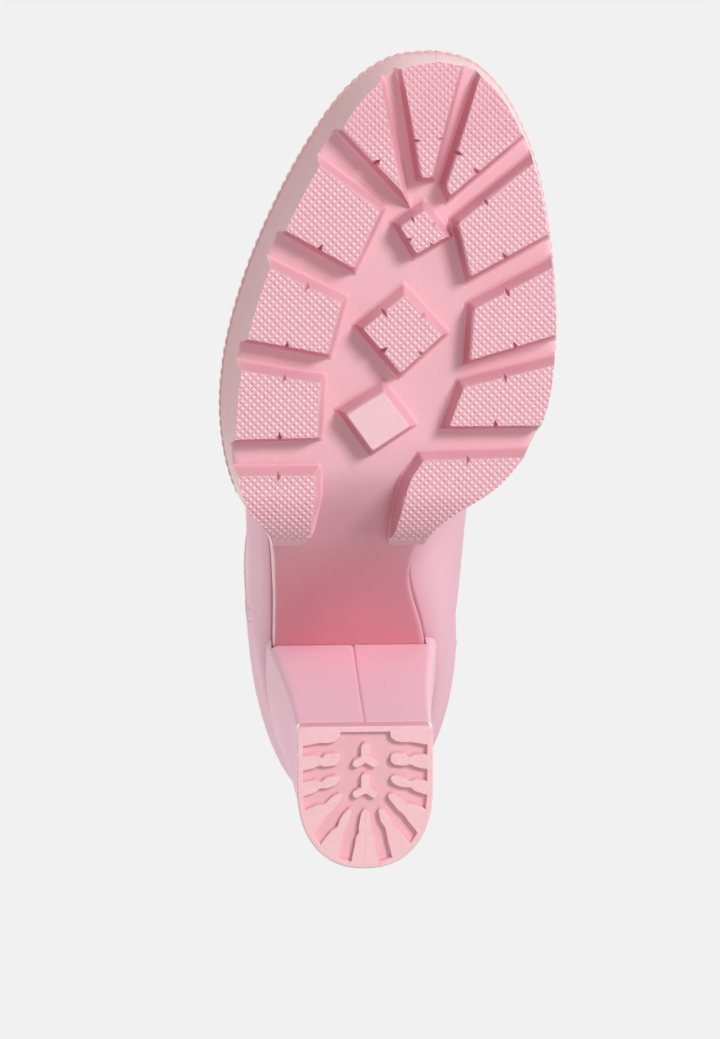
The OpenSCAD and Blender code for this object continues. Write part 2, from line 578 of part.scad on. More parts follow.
// Corner, roundness of the back and share of straight side, each at the tip and at the seat
D_CORNER = [1.5, 3];
D_ROUND = [2.3, 2];
D_SIDE = [0.42, 0.15];
function d_half(half_w, front_y, back_y, f) =
    let (side_y = mix(front_y, back_y, mix(D_SIDE[0], D_SIDE[1], f)), arc = back_y - side_y)
    let (corner = mix(D_CORNER[0], D_CORNER[1], f), power = 2 / mix(D_ROUND[0], D_ROUND[1], f))
    concat(
        [for (a = [90 : -30 : 0])
            [-half_w + corner * (1 - cos(a)), front_y + corner * (1 - sin(a))]],
        [for (i = [0 : 9]) let (a = 90 * (i + 0.5) / 10)
            [-half_w * pow(cos(a), power), side_y + arc * pow(sin(a), power)]]);
function heel_loop(f, inset) =
    let (w = mix(heel_w, SEAT_W, pow(f, 1.5)) / 2 - inset, x = mix(heel_x, heel_x - 0.3, f))
    let (front = mix(breast_tip_y, breast_top_y, f) + inset)
    let (back = mix(heel_back_y, SEAT_BACK_Y, pow(f, 1.3)) - inset)
    let (half = d_half(w, front, back, f), n = len(half))
    let (left = [for (p = half) [x + p.x, p.y]])
    let (plan = concat(left, [for (i = [n - 1 : -1 : 0]) [x - half[i].x, half[i].y]]))
    [for (p = plan) [p.x, p.y, mix(tip_t + glue_gap / 2, bed_z(p.y) - glue_gap / 2, f)]];
HEEL_LEVELS = [0, 0.2, 0.4, 0.6, 0.8, 1];

// Room for the sole's tail behind the top of the breast
module tail_room() {
    ys = [breast_top_y - 10, breast_top_y - 5, breast_top_y, tail_y + 0.4];
    rotate([90, 0, 90]) linear_extrude(100, center = true)
        polygon(concat([for (y = ys) [y, floor_z(y) - glue_gap]],
            [[tail_y + 0.4, heel_h + 20], [ys[0], heel_h + 20]]));
}

dowel_xy = [[heel_x - 9, 88], [heel_x + 9, 88]];
nail_xy = [[heel_x - 13, 84], [heel_x + 13, 84], [heel_x - 9, 101], [heel_x + 9, 101]];
screw_xy = [heel_x, 95];
SCREW_HEAD_D = 9;
NAIL_HEAD_D = 4.5;
HEAD_T = 1.2;
function head_z(at) = bed_z(at.y) + seat_gap + board_t - 1;

// Fastener with its head down in the insole board; grow widens it into its hole
module fastener(at, d, head_d, length, grow) {
    top = head_z(at);
    translate([at.x, at.y, top - length]) cylinder(d = d + 2 * grow, h = length);
    translate([at.x, at.y, top - HEAD_T - grow])
        cylinder(d = head_d + 2 * grow, h = HEAD_T + grow + (grow > 0 ? 4 : 0));
}
module heel_fastener_holes() {
    fastener(screw_xy, screw_d, SCREW_HEAD_D, screw_len, fit_gap);
    for (p = nail_xy) fastener(p, nail_d, NAIL_HEAD_D, nail_len, fit_gap);
}

module heel_block() {
    color(FOAM) difference() {
        loop_loft([for (f = HEEL_LEVELS) heel_loop(f, cover_t + glue_gap / 2)]);
        tail_room();
        heel_fastener_holes();
        for (p = dowel_xy)
            translate([p.x, p.y, 0]) cylinder(d = dowel_d + 2 * fit_gap, h = dowel_len + tip_t);
    }
}

module heel_cover() {
    color(PINK) difference() {
        tube_loft([for (f = HEEL_LEVELS) heel_loop(f, 0)], [for (f = HEEL_LEVELS) heel_loop(f, cover_t)]);
        tail_room();
    }
}

// Heel tip with a recessed tread of stubby lugs round its rim and two three-lobed studs in the middle
function tip_outline(inset) = [for (p = heel_loop(0, inset)) [p.x, p.y]];
// Lugs of one side in the tip's own plane: X from its middle, Y back from its breast edge
tip_lugs = [
    [[-20, 6.2], [-16, 5.5], [-12.7, 4.8], [-11, 5], [-8.6, 4.6], [-7.2, 3.5], [-7, 1.7], [-7, 0], [-20, 0]],
    [[-19, 8.5], [-14.5, 8.3], [-12.7, 9.2], [-11.5, 8], [-8.6, 7.8], [-7.2, 8.5], [-7.2, 10.7], [-8.6, 11.6],
        [-11.5, 12], [-12.8, 11.4], [-14.5, 12.3], [-19, 13.3]],
    [[-19, 16.5], [-14.5, 15.6], [-12.8, 16.4], [-11.5, 15], [-8.6, 14.3], [-7.2, 15], [-7.3, 16.4],
        [-8.6, 17.5], [-11, 18.3], [-13, 18.2], [-14, 19.3], [-19, 21]],
    [[-18.5, 25], [-14, 23], [-11.7, 22.8], [-11, 21.9], [-9.3, 20.4], [-7.5, 19.6], [-6.4, 20.3],
        [-6.5, 21.2], [-8, 23.2], [-9.7, 25.2], [-11, 26.2], [-11.8, 27.5], [-16, 33]],
    [[-14, 36], [-10, 30.8], [-8, 29.5], [-7.5, 27.6], [-6, 25.2], [-4.5, 24], [-3.6, 24.7], [-4.3, 28],
        [-5.7, 30], [-5.9, 31], [-6.6, 34.5], [-8, 40]],
    [[-4.5, 42], [-3, 34.5], [-2.7, 32.4], [-1.8, 31.3], [-2, 30], [-1.6, 27.5], [-1.1, 25.2], [-0.4, 24.5],
        [0.1, 24.5], [0.1, 42]]];
stud_ys = [9.5, 18.5];
STUD_ARM_W = 2.5;
module stud() {
    for (arm = [[-90, 3.4], [30, 2.9], [150, 2.9]]) rotate(arm[0]) {
        translate([0, -STUD_ARM_W / 2]) square([arm[1], STUD_ARM_W]);
        translate([arm[1], 0]) circle(d = STUD_ARM_W, $fn = 24);
    }
}
module tip_pattern() {
    difference() {
        polygon(tip_outline(tip_rim));
        translate([heel_x, breast_tip_y]) {
            for (s = [0, 1], p = tip_lugs) mirror([s, 0]) polygon(p);
            for (y = stud_ys) translate([0, y]) stud();
        }
    }
}
module heel_top_piece() {
    color(TIP_PINK) difference() {
        linear_extrude(tip_t) polygon(tip_outline(0));
        translate([0, 0, -1]) linear_extrude(tip_recess + 1) tip_pattern();
        for (p = dowel_xy)
            translate([p.x, p.y, tip_t - 3]) cylinder(d = dowel_d + 2 * fit_gap, h = dowel_len);
    }
}

module top_piece_pins() {
    color(STEEL) for (p = dowel_xy) translate([p.x, p.y, tip_t - 3]) cylinder(d = dowel_d, h = dowel_len);
}

module heel_screw() {
    color(STEEL) fastener(screw_xy, screw_d, SCREW_HEAD_D, screw_len, 0);
}

module heel_nails() {
    color(STEEL) for (p = nail_xy) fastener(p, nail_d, NAIL_HEAD_D, nail_len, 0);
}

// Insole board and padded sock, inside the upper's layers
BOARD_KS = concat([0.25, 0.6], sole_ks(1, HEEL_K, 0.4));
module insole_board() {
    inset = upper_d + 0.6;
    color(BOARD) difference() {
        loop_loft([bed_loop(BOARD_KS, -inset, seat_gap), bed_loop(BOARD_KS, -inset, seat_gap + board_t)]);
        heel_fastener_holes();
    }
}
module sock_liner() {
    inset = upper_d + 0.9;
    lift = seat_gap + board_t + glue_gap;
    color(LINING) loop_loft([
        bed_loop(BOARD_KS, -inset, lift),
        bed_loop(BOARD_KS, -inset, lift + sock_t * 0.6),
        bed_loop(BOARD_KS, -inset - 1.5, lift + sock_t)]);
}

// Panels of the upper, from the toe to the topline
module panel_vamp(depth, thick) {
    ks = concat(TOE_KS, REAR_KS);
    shell([for (k = ks) layer_row(k, vamp_cols(k), depth)],
        [for (k = ks) layer_row(k, vamp_cols(k), depth + thick)], true);
}
module panel_outer_quarter(depth, thick) {
    shell([for (k = REAR_KS) layer_row(k, outer_quarter_cols(k), depth)],
        [for (k = REAR_KS) layer_row(k, outer_quarter_cols(k), depth + thick)], true);
}
module panel_inner_quarter(depth, thick) {
    shell([for (k = REAR_KS) layer_row(k, inner_quarter_cols(k), depth)],
        [for (k = REAR_KS) layer_row(k, inner_quarter_cols(k), depth + thick)], true, true);
}
module vamp() {
    color(PINK) panel_vamp(0, outer_t);
}
module lateral_quarter() {
    color(PINK) panel_outer_quarter(0, outer_t);
}
module medial_quarter() {
    color(PINK) panel_inner_quarter(0, outer_t);
}
module vamp_lining() {
    color(LINING) panel_vamp(lining_d, lining_t);
}
module lateral_lining() {
    color(LINING) panel_outer_quarter(lining_d, lining_t);
}
module medial_lining() {
    color(LINING) panel_inner_quarter(lining_d, lining_t);
}

// Stiffeners between the outer panels and the lining
PUFF_KS = [for (k = TOE_KS) if (k <= 3) k];
COUNTER_KS = [for (k = REAR_KS) if (k >= 12 && k <= 18) k];
COUNTER_COLS = 4;
module toe_puff() {
    color(BOARD) shell([for (k = PUFF_KS) layer_row(k, vamp_cols(k), stiffener_d)],
        [for (k = PUFF_KS) layer_row(k, vamp_cols(k), stiffener_d + stiffener_t)], true);
}
module counter_half(s) {
    function reach(k) = s < 0 ? seam_v(k) : inner_seam_v(k, 1);
    function cols(k) = [for (j = [0 : COUNTER_COLS])
        [s, reach(k) * (s < 0 ? j : COUNTER_COLS - j) / QUARTER_COLS]];
    shell([for (k = COUNTER_KS) layer_row(k, cols(k), stiffener_d)],
        [for (k = COUNTER_KS) layer_row(k, cols(k), stiffener_d + stiffener_t)], false, s > 0);
}
module heel_counter() {
    color(BOARD) union() {
        counter_half(-1);
        counter_half(1);
    }
}

// Binding folded over the topline, from one edge of the zip's slot round to the other
function topline_stops() = concat(
    [for (j = [0 : 8]) [1, mix(inner_seam_v(TOP_K, -1), 1, j / 8)]],
    [for (j = [1 : 16]) [-1, 1 - j / 16]],
    [for (j = [1 : 8]) [1, inner_seam_v(TOP_K, 1) * j / 8]]);
function binding_section(q) =
    let (p = skin(q[0], TOP_K, q[1]), n = skin_normal(q[0], TOP_K, q[1]))
    let (up = unit(p - skin(q[0], TOP_K - 0.1, q[1])), out = glue_gap, far = upper_d + glue_gap)
    [for (c = [[-out - binding_t, -binding_h], [-out - binding_t, out + binding_t],
        [far + binding_t, out + binding_t], [far + binding_t, -binding_h],
        [far, -binding_h], [far, out], [-out, out], [-out, -binding_h]]) p - c[0] * n + c[1] * up];
module topline_binding() {
    caps = [[0, 1, 6], [0, 6, 7], [1, 2, 5], [1, 5, 6], [2, 3, 4], [2, 4, 5]];
    color(PINK) swept([for (q = topline_stops()) binding_section(q)], caps);
}

// Zip: tapes behind the slot's edges, two rows of teeth, stops, slider and puller
ZIP_KS = [SLOT_K + SLOT_RAMP, 17, 18, 19, 20, 21, 21.6];
module zip_tape(side) {
    near_off = chain_half + glue_gap;
    function cols(k) = [for (j = [0 : 4]) let (f = side < 0 ? j / 4 : 1 - j / 4)
        [1, zip_v(k, side * mix(near_off + tape_w, near_off, f))]];
    shell([for (k = ZIP_KS) layer_row(k, cols(k), tape_d)],
        [for (k = ZIP_KS) layer_row(k, cols(k), tape_d + tape_t)]);
}
module zip_tapes() {
    color(PINK) union() {
        zip_tape(-1);
        zip_tape(1);
    }
}

// Row of teeth on its cord, in the plane of the zip: Y across, Z along
module tooth_row(side) {
    count = floor((zip_top_z - zip_bottom_z) / tooth_pitch);
    cord_w = tooth_w * 0.45;
    first = side > 0 ? 0.1 : 0.55;
    tooth_y = side > 0 ? tooth_gap / 2 : -chain_half + 0.1;
    translate([zip_x - tooth_d - tooth_t, zip_y, zip_bottom_z]) rotate([90, 0, 90]) linear_extrude(tooth_t) {
        translate([side > 0 ? chain_half - cord_w : -chain_half, 0]) square([cord_w, count * tooth_pitch]);
        for (i = [0 : count - 1])
            translate([tooth_y, (i + first) * tooth_pitch]) square([tooth_w - 0.1, tooth_pitch * 0.35]);
    }
}
module zip_teeth() {
    color(PINK) union() {
        tooth_row(-1);
        tooth_row(1);
    }
}

// Stops that clamp the ends of the rows of teeth
module zip_stop(side, z) {
    translate([zip_x - tooth_d - tooth_t, zip_y + (side > 0 ? tooth_gap / 2 : -chain_half), z])
        cube([tooth_t, tooth_w, stop_h]);
}
row_top_z = zip_bottom_z + floor((zip_top_z - zip_bottom_z) / tooth_pitch) * tooth_pitch;
module zip_top_stops() {
    color(STEEL) for (s = [-1, 1]) zip_stop(s, row_top_z + 0.1);
}
module zip_bottom_stop() {
    color(STEEL) translate([zip_x - tooth_d - tooth_t, zip_y - chain_half, zip_bottom_z - stop_h - 0.1])
        cube([tooth_t, 2 * chain_half, stop_h]);
}

// Slider: two plates joined by a thin web between the rows, flanges beside the teeth, ears with the pivot pin
slider_z = row_top_z - slider_len - 0.5;
front_x = zip_x - tooth_d + slide_gap;
rear_x = zip_x - tooth_d - tooth_t - slide_gap;
pivot_z = slider_z + slider_len * 0.6;
pivot_x = front_x + plate_t + pivot_out;
module slider_plate(x) {
    translate([x, zip_y, slider_z]) rotate([90, 0, 90]) linear_extrude(plate_t)
        polygon([[-slider_w * 0.36, 0], [slider_w * 0.36, 0], [slider_w / 2, slider_len * 0.45],
            [slider_w / 2, slider_len * 0.8], [slider_w * 0.3, slider_len], [-slider_w * 0.3, slider_len],
            [-slider_w / 2, slider_len * 0.8], [-slider_w / 2, slider_len * 0.45]]);
}
module zip_slider() {
    flange = slider_w / 2 - chain_half - slide_gap;
    ear_h = 3.4;
    color(STEEL) union() {
        slider_plate(front_x);
        slider_plate(rear_x - plate_t);
        translate([rear_x - 0.1, zip_y - web_w / 2, slider_z + 1])
            cube([front_x - rear_x + 0.2, web_w, slider_len - 2]);
        for (s = [-1, 1]) {
            ear_y = zip_y + s * (puller_w * 0.25 + slide_gap + ear_w / 2);
            translate([front_x, ear_y - ear_w / 2, pivot_z - ear_h / 2])
                cube([plate_t + pivot_out + pivot_d / 2 + 0.5, ear_w, ear_h]);
        }
        translate([pivot_x, zip_y, pivot_z]) rotate([90, 0, 0])
            cylinder(d = pivot_d, h = puller_w * 0.5 + 2 * slide_gap + ear_w, center = true);
    }
}

// Puller: an eye on the pin, a narrow neck and a flat tab with a hole
module zip_puller() {
    neck_w = puller_w * 0.5;
    hole_d = puller_w * 0.4;
    round_y = puller_w / 2 - puller_len;
    color(STEEL) difference() {
        union() {
            translate([pivot_x, zip_y, pivot_z]) rotate([90, 0, 0])
                cylinder(d = eye_d, h = neck_w, center = true);
            translate([pivot_x - puller_t / 2, zip_y - neck_w / 2, pivot_z - 9]) cube([puller_t, neck_w, 9]);
            translate([pivot_x - puller_t / 2, zip_y, pivot_z]) rotate([90, 0, 90]) linear_extrude(puller_t) {
                translate([-puller_w / 2, round_y]) square([puller_w, -round_y - 8]);
                translate([0, round_y]) circle(d = puller_w);
            }
        }
        translate([pivot_x, zip_y, pivot_z]) rotate([90, 0, 0])
            cylinder(d = pivot_d + 2 * pivot_gap, h = puller_w + 2, center = true);
        translate([pivot_x - puller_t, zip_y, pivot_z + round_y + 1]) rotate([0, 90, 0])
            cylinder(d = hole_d, h = 2 * puller_t);
    }
}

// Guard strip behind the zip, sewn to the lining along its rear edge
GUARD_OFFS = [14, 10, 7, 4, 0, -4, -8, -11];
guard_t = 1;
guard_d = zip_x - rear_x + plate_t + 0.6;
function guard_depth(off) = mix(guard_d, upper_d + glue_gap, max(0, min(1, (off - 4) / 6)));
module zip_guard() {
    function row(k, extra) = [for (off = GUARD_OFFS) layer(1, k, zip_v(k, off), guard_depth(off) + extra)];
    color(LINING) shell([for (k = ZIP_KS) row(k, 0)], [for (k = ZIP_KS) row(k, guard_t)]);
}

lug_outsole();
ribbed_welt();
platform_filler();
steel_shank();
insole_board();
sock_liner();
heel_block();
heel_cover();
heel_top_piece();
top_piece_pins();
heel_screw();
heel_nails();
vamp();
lateral_quarter();
medial_quarter();
toe_puff();
heel_counter();
vamp_lining();
lateral_lining();
medial_lining();
topline_binding();
zip_tapes();
zip_teeth();
zip_top_stops();
zip_bottom_stop();
zip_guard();
zip_slider();
zip_puller();
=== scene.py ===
"""Looks of a heeled platform ankle boot with a lugged sole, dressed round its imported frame.

Shapes are worked out in millimetres with numpy and turned into metres when a mesh is made.
"""

import logging
import math
from dataclasses import dataclass
from enum import Enum

import bmesh
import bpy
import numpy as np
from mathutils import Matrix, Vector


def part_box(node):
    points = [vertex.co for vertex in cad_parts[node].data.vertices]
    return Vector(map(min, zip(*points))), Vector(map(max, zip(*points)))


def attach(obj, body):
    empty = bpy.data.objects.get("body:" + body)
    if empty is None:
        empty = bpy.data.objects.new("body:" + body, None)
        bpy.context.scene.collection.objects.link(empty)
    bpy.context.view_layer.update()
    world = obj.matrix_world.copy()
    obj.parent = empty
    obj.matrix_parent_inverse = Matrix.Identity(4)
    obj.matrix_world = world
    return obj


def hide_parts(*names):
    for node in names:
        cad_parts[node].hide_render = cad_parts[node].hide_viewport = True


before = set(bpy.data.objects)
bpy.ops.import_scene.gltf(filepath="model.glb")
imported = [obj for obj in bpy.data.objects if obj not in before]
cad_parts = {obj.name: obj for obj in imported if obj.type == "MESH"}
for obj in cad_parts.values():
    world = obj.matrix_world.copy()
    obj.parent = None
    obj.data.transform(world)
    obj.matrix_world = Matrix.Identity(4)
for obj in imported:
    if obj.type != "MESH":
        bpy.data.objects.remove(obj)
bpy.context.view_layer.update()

MM = 0.001
BODY = "boot"
log = logging.getLogger("boot")

Array = np.ndarray
Values = np.ndarray | float
Piece = bpy.types.Object
Tree = bpy.types.NodeTree
Socket = bpy.types.NodeSocket


class Side(Enum):
    """Sides of the foot."""

    OUTER = -1
    INNER = 1


class Cut(Enum):
    """Ways to work one solid with another."""

    JOIN = "UNION"
    TAKE = "DIFFERENCE"
    KEEP = "INTERSECT"


def mix(a: Values, b: Values, f: Values) -> Values:
    """Straight blend from a at f = 0 to b at f = 1."""
    return a + (b - a) * f


def smooth(x: Values) -> Array:
    """Eased step: 0 below 0, 1 above 1, with level ends."""
    t = np.clip(x, 0.0, 1.0)
    return t * t * (3.0 - 2.0 * t)


def ramp(x: Array, start: float, span: float) -> Array:
    """Eased step that begins at a start and takes a span."""
    return smooth((x - start) / span)


def unit(v: Array) -> Array:
    """Vectors of length one along the last axis."""
    return v / np.maximum(np.linalg.norm(v, axis=-1, keepdims=True), 1e-12)


def circle(count: int) -> Array:
    """Angles of points spaced evenly round a circle."""
    return np.linspace(0, 2 * np.pi, count, endpoint=False)


def crowded(count: int) -> Array:
    """Shares from 0 to 1 that crowd at both ends: half of one minus the cosine of an even half turn."""
    return 0.5 - 0.5 * np.cos(np.pi * np.linspace(0, 1, count))


def quarter(gap: Array, radius: float) -> Array:
    """Fall of a rounded edge: a quarter circle, from the radius at the edge to nil where the gap equals it."""
    return radius * (1 - np.sqrt(1 - np.clip(1 - gap / radius, 0, 1) ** 2))


def at(*parts: Values) -> Array:
    """Coordinates or point numbers joined along a new last axis; one number stands for all."""
    return np.stack(np.broadcast_arrays(*parts), -1)


def lift(plan: Array, z: Values) -> Array:
    """Points of a plan with their heights, one height for all or one for each."""
    return np.concatenate([plan, np.broadcast_to(z, plan.shape[:-1])[..., None]], -1)


def closed(left: Array, right: Array) -> Array:
    """Outline along one line of points and back along another that starts at the same point."""
    return np.concatenate([left, right[:0:-1]])


def run_length(line: Array) -> Array:
    """Length of a line of points from its start to each of them."""
    return np.concatenate([[0], np.cumsum(np.linalg.norm(np.diff(line, axis=0), axis=-1))])


def spline(points: tuple, t: Values) -> Array:
    """Smooth curve through control points, counted in points.

    Each stretch is the Catmull-Rom cubic of its four nearest control points, with the end points repeated.

    Args:
        points: control values or points, in order.
        t: places along the list, 0 at the first entry.

    Returns:
        The curve's values, with the shape of t and the points' own last axis.
    """
    p = np.asarray(points, float)
    t = np.asarray(t, float)
    last = len(p) - 1
    i = np.clip(np.floor(t).astype(int), 0, last - 1)
    f = (t - i)[..., None] if p.ndim > 1 else t - i
    a, b, c, d = p[np.maximum(i - 1, 0)], p[i], p[i + 1], p[np.minimum(i + 2, last)]
    return 0.5 * (2 * b + (c - a) * f + (2 * a - 5 * b + 4 * c - d) * f**2 + (3 * b - a - 3 * c + d) * f**3)


def srgb(r: int, g: int, b: int) -> tuple[float, float, float, float]:
    """Linear colour of a screen colour given in 0 to 255."""
    c = np.array([r, g, b]) / 255.0
    return (*np.where(c <= 0.04045, c / 12.92, ((c + 0.055) / 1.055) ** 2.4).tolist(), 1.0)


@dataclass
class Form:
    """One closed shape: points in millimetres, faces as index arrays, and the points' places on the cloth."""

    points: Array
    faces: list[Array]
    uv: Array | None = None

    def outward(self) -> "Form":
        """The same form with its faces pointing out, judged by the sign of the volume they enclose.

        Returns:
            The form itself.
        """
        volume = 0.0
        for f in self.faces:
            p = self.points[f]
            for i in range(1, f.shape[1] - 1):
                volume += float(np.einsum("ij,ij->", p[:, 0], np.cross(p[:, i], p[:, i + 1])))
        if volume < 0:
            self.faces = [f[:, ::-1] for f in self.faces]
        return self

    def piece(self, name: str) -> Piece:
        """Mesh object of the form, in metres at the origin, with points that fall together merged, such as a pole's.

        Args:
            name: name of the object and its mesh.

        Returns:
            The object, linked to the scene.
        """
        mesh = bpy.data.meshes.new(name)
        sizes = np.concatenate([np.full(len(f), f.shape[1]) for f in self.faces])
        corners = np.concatenate([f.ravel() for f in self.faces]).astype(np.int32)
        starts = np.concatenate([[0], np.cumsum(sizes)[:-1]]).astype(np.int32)
        mesh.vertices.add(len(self.points))
        mesh.vertices.foreach_set("co", (self.points * MM).astype(np.float32).ravel())
        mesh.loops.add(len(corners))
        mesh.loops.foreach_set("vertex_index", corners)
        mesh.polygons.add(len(sizes))
        mesh.polygons.foreach_set("loop_start", starts)
        mesh.update(calc_edges=True)
        if self.uv is not None:
            layer = mesh.uv_layers.new(name="cloth")
            layer.data.foreach_set("uv", (self.uv[corners] * MM).astype(np.float32).ravel())
        weld_points(mesh)
        mesh.validate()
        return stand(name, mesh)


def stand(name: str, data: bpy.types.ID) -> Piece:
    """New object in the scene.

    Args:
        name: its name.
        data: its mesh, light or camera.

    Returns:
        The object.
    """
    obj = bpy.data.objects.new(name, data)
    bpy.context.scene.collection.objects.link(obj)
    return obj


def weld_points(mesh: bpy.types.Mesh, reach: float = 2e-6) -> None:
    """Merges points of a mesh that lie within a distance in metres.

    Args:
        mesh: the mesh to change.
        reach: greatest distance between points that become one.
    """
    bm = bmesh.new()
    bm.from_mesh(mesh)
    bmesh.ops.remove_doubles(bm, verts=bm.verts, dist=reach)
    bm.to_mesh(mesh)
    bm.free()


def grid_faces(rows: int, cols: int, wrap: bool = False) -> Array:
    """Quads of a grid of points stored row by row; wrap joins the last column to the first.

    Args:
        rows: rows of points.
        cols: points in a row.
        wrap: closes each row into a ring.

    Returns:
        Four point numbers for each quad.
    """
    i = np.arange(rows - 1)[:, None]
    j = np.arange(cols if wrap else cols - 1)[None, :]
    k = (j + 1) % cols
    quads = [i * cols + j, (i + 1) * cols + j, (i + 1) * cols + k, i * cols + k]
    return at(*quads).reshape(-1, 4)


def grid_rim(rows: int, cols: int, shift: int) -> Array:
    """Quads from the border of a grid of points to the same border in a second grid, stored a shift later.

    Args:
        rows: rows of points.
        cols: points in a row.
        shift: what to add for the second grid.

    Returns:
        Four point numbers for each quad.
    """
    index = np.arange(rows * cols).reshape(rows, cols)
    border = np.concatenate([index[:, 0], index[-1, 1:], index[-2::-1, -1], index[0, -2:0:-1]])
    ahead = np.roll(border, -1)
    return at(ahead, border, border + shift, ahead + shift)


def shell(outer: Array, inner: Array, uv: Array | None = None) -> Form:
    """Closed sheet between two grids of points: both faces, and a rim that follows their border.

    Args:
        outer: points of the face that shows, rows by columns by 3.
        inner: points of the face behind it, in the same order.
        uv: places on the cloth for one face, rows by columns by 2.

    Returns:
        The closed form.
    """
    rows, cols = outer.shape[:2]
    n = rows * cols
    face = grid_faces(rows, cols)
    points = np.concatenate([outer.reshape(-1, 3), inner.reshape(-1, 3)])
    cloth = None if uv is None else np.concatenate([uv.reshape(-1, 2)] * 2)
    return Form(points, [face, face[:, ::-1] + n, grid_rim(rows, cols, n)], cloth).outward()


def loft(rings: Array) -> Form:
    """Solid through closed rings of points, with a fan of triangles from the middle of each end ring.

    Args:
        rings: points, rings by points round a ring by 3.

    Returns:
        The closed form.
    """
    rows, cols = rings.shape[:2]
    ends = np.stack([rings[0].mean(0), rings[-1].mean(0)])
    points = np.concatenate([rings.reshape(-1, 3), ends])
    j = np.arange(cols)
    k = (j + 1) % cols
    base = (rows - 1) * cols
    first = at(j, k, rows * cols)
    final = at(base + k, base + j, rows * cols + 1)
    return Form(points, [grid_faces(rows, cols, True), first, final]).outward()


def sleeve(outer: Array, inner: Array) -> Form:
    """Tube wall between stacked outer rings and stacked inner rings, closed at both ends.

    Args:
        outer: rings of the outer face, from end to end.
        inner: rings of the inner face.

    Returns:
        The closed form.
    """
    rows, cols = outer.shape[:2]
    n = rows * cols
    j = np.arange(cols)
    k = (j + 1) % cols
    face = grid_faces(rows, cols, True)
    low = at(j, k, k + n, j + n)
    high = low[:, ::-1] + (rows - 1) * cols
    points = np.concatenate([outer.reshape(-1, 3), inner.reshape(-1, 3)])
    return Form(points, [face, face[:, ::-1] + n, low, high]).outward()


def bar(yz: Array, *ends: float) -> Form:
    """Solid bar: an outline in Y and Z carried along X from end to end."""
    return loft(np.stack([np.insert(yz, 0, x, axis=1) for x in ends]))


def rod(x: float, z: float, radius: float, ends: tuple, angles: Array) -> Form:
    """Round rod along Y between two ends, its ring of points at the given angles."""
    ring = at(x + radius * np.cos(angles), 0 * angles, z + radius * np.sin(angles))
    return loft(np.stack([ring + (0, y, 0) for y in ends]))


def together(forms: list[Form]) -> Form:
    """Several separate forms as one."""
    shifts = np.cumsum([0] + [len(f.points) for f in forms[:-1]])
    return Form(np.concatenate([f.points for f in forms]), [g + s for f, s in zip(forms, shifts) for g in f.faces])


def repeated(form: Form, places: Array, sizes: Array) -> Form:
    """A unit form set down at many places, each copy scaled by its own three sizes.

    Args:
        form: the form to copy, one unit across.
        places: middles of the copies.
        sizes: their sizes along X, Y and Z.

    Returns:
        All copies as one form.
    """
    points = (form.points[None] * sizes[:, None] + places[:, None]).reshape(-1, 3)
    steps = (np.arange(len(places)) * len(form.points))[:, None, None]
    return Form(points, [(f[None] + steps).reshape(-1, f.shape[1]) for f in form.faces])


def pebble(power: float, around: int = 16, rows: int = 9) -> Form:
    """Box with soft edges, one unit across: a superellipsoid.

    Each coordinate of a sphere is raised to a power below one, which squares it up.

    Args:
        power: 1 gives a sphere, smaller values a box.
        around: points round each ring.
        rows: rings from pole to pole.

    Returns:
        The closed form, from -0.5 to 0.5 on each axis.
    """
    a = np.linspace(-np.pi / 2, np.pi / 2, rows)[:, None]
    b = circle(around)[None, :]

    def bow(x: Array) -> Array:
        """Signed power."""
        return np.sign(x) * np.abs(x) ** power

    x, y, z = bow(np.cos(a)) * bow(np.cos(b)), bow(np.cos(a)) * bow(np.sin(b)), bow(np.sin(a)) + 0 * b
    return loft(0.5 * at(x, y, z))


def carve(base: Piece, steps: list[tuple[Cut, Piece]]) -> None:
    """Works a solid with others, one after the other, and removes the others.

    Args:
        base: the solid that is kept.
        steps: how each of the other solids is used, in order.
    """
    for how, tool in steps:
        work = base.modifiers.new(how.name, "BOOLEAN")
        work.operation = how.value
        work.solver = "MANIFOLD"
        work.object = tool
    graph = bpy.context.evaluated_depsgraph_get()
    mesh = bpy.data.meshes.new_from_object(base.evaluated_get(graph))
    base.modifiers.clear()
    spent = [base.data] + [tool.data for _, tool in steps]
    base.data = mesh
    for _, tool in steps:
        bpy.data.objects.remove(tool)
    for old in spent:
        bpy.data.meshes.remove(old)
    mesh.name = base.name


def box_mm(node: str) -> tuple[Array, Array]:
    """Lowest and highest corner of a construction node."""
    low, high = (np.array(corner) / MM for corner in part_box(node))
    return low, high


def face_values(obj: Piece, what: str) -> Array:
    """Vector of each face of a piece, such as its centre or normal, as the mesh gives it.

    Args:
        obj: the piece.
        what: Blender's name of the value.

    Returns:
        One vector for each face.
    """
    values = np.empty(len(obj.data.polygons) * 3, np.float32)
    obj.data.polygons.foreach_get(what, values)
    return values.reshape(-1, 3)


def mark_faces(obj: Piece, name: str, values: Array) -> None:
    """Keeps a number for each face of a piece in an attribute that its finish reads."""
    layer = obj.data.attributes.new(name, "FLOAT", "FACE")
    layer.data.foreach_set("value", values.astype(np.float32))


def dress(
        obj: Piece, finish: "Finish", slot: str, *nodes: str, crisp: float = 60.0, body: str = BODY) -> None:
    """Gives a new piece its shading, finish and body, and hides the construction nodes that it stands for.

    Args:
        obj: the piece.
        finish: its surface.
        slot: a material slot's name; not used.
        nodes: construction nodes that it replaces.
        crisp: angle in degrees past which an edge isn't shaded smooth.
        body: the body that it moves with.
    """
    obj.data.shade_smooth()
    obj.data.set_sharp_from_angle(angle=math.radians(crisp))
    obj.data.materials.clear()
    obj.data.materials.append(finish.material())
    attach(obj, body)
    if nodes:
        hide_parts(*nodes)
    log.info("%s: %d faces", obj.name, len(obj.data.polygons))


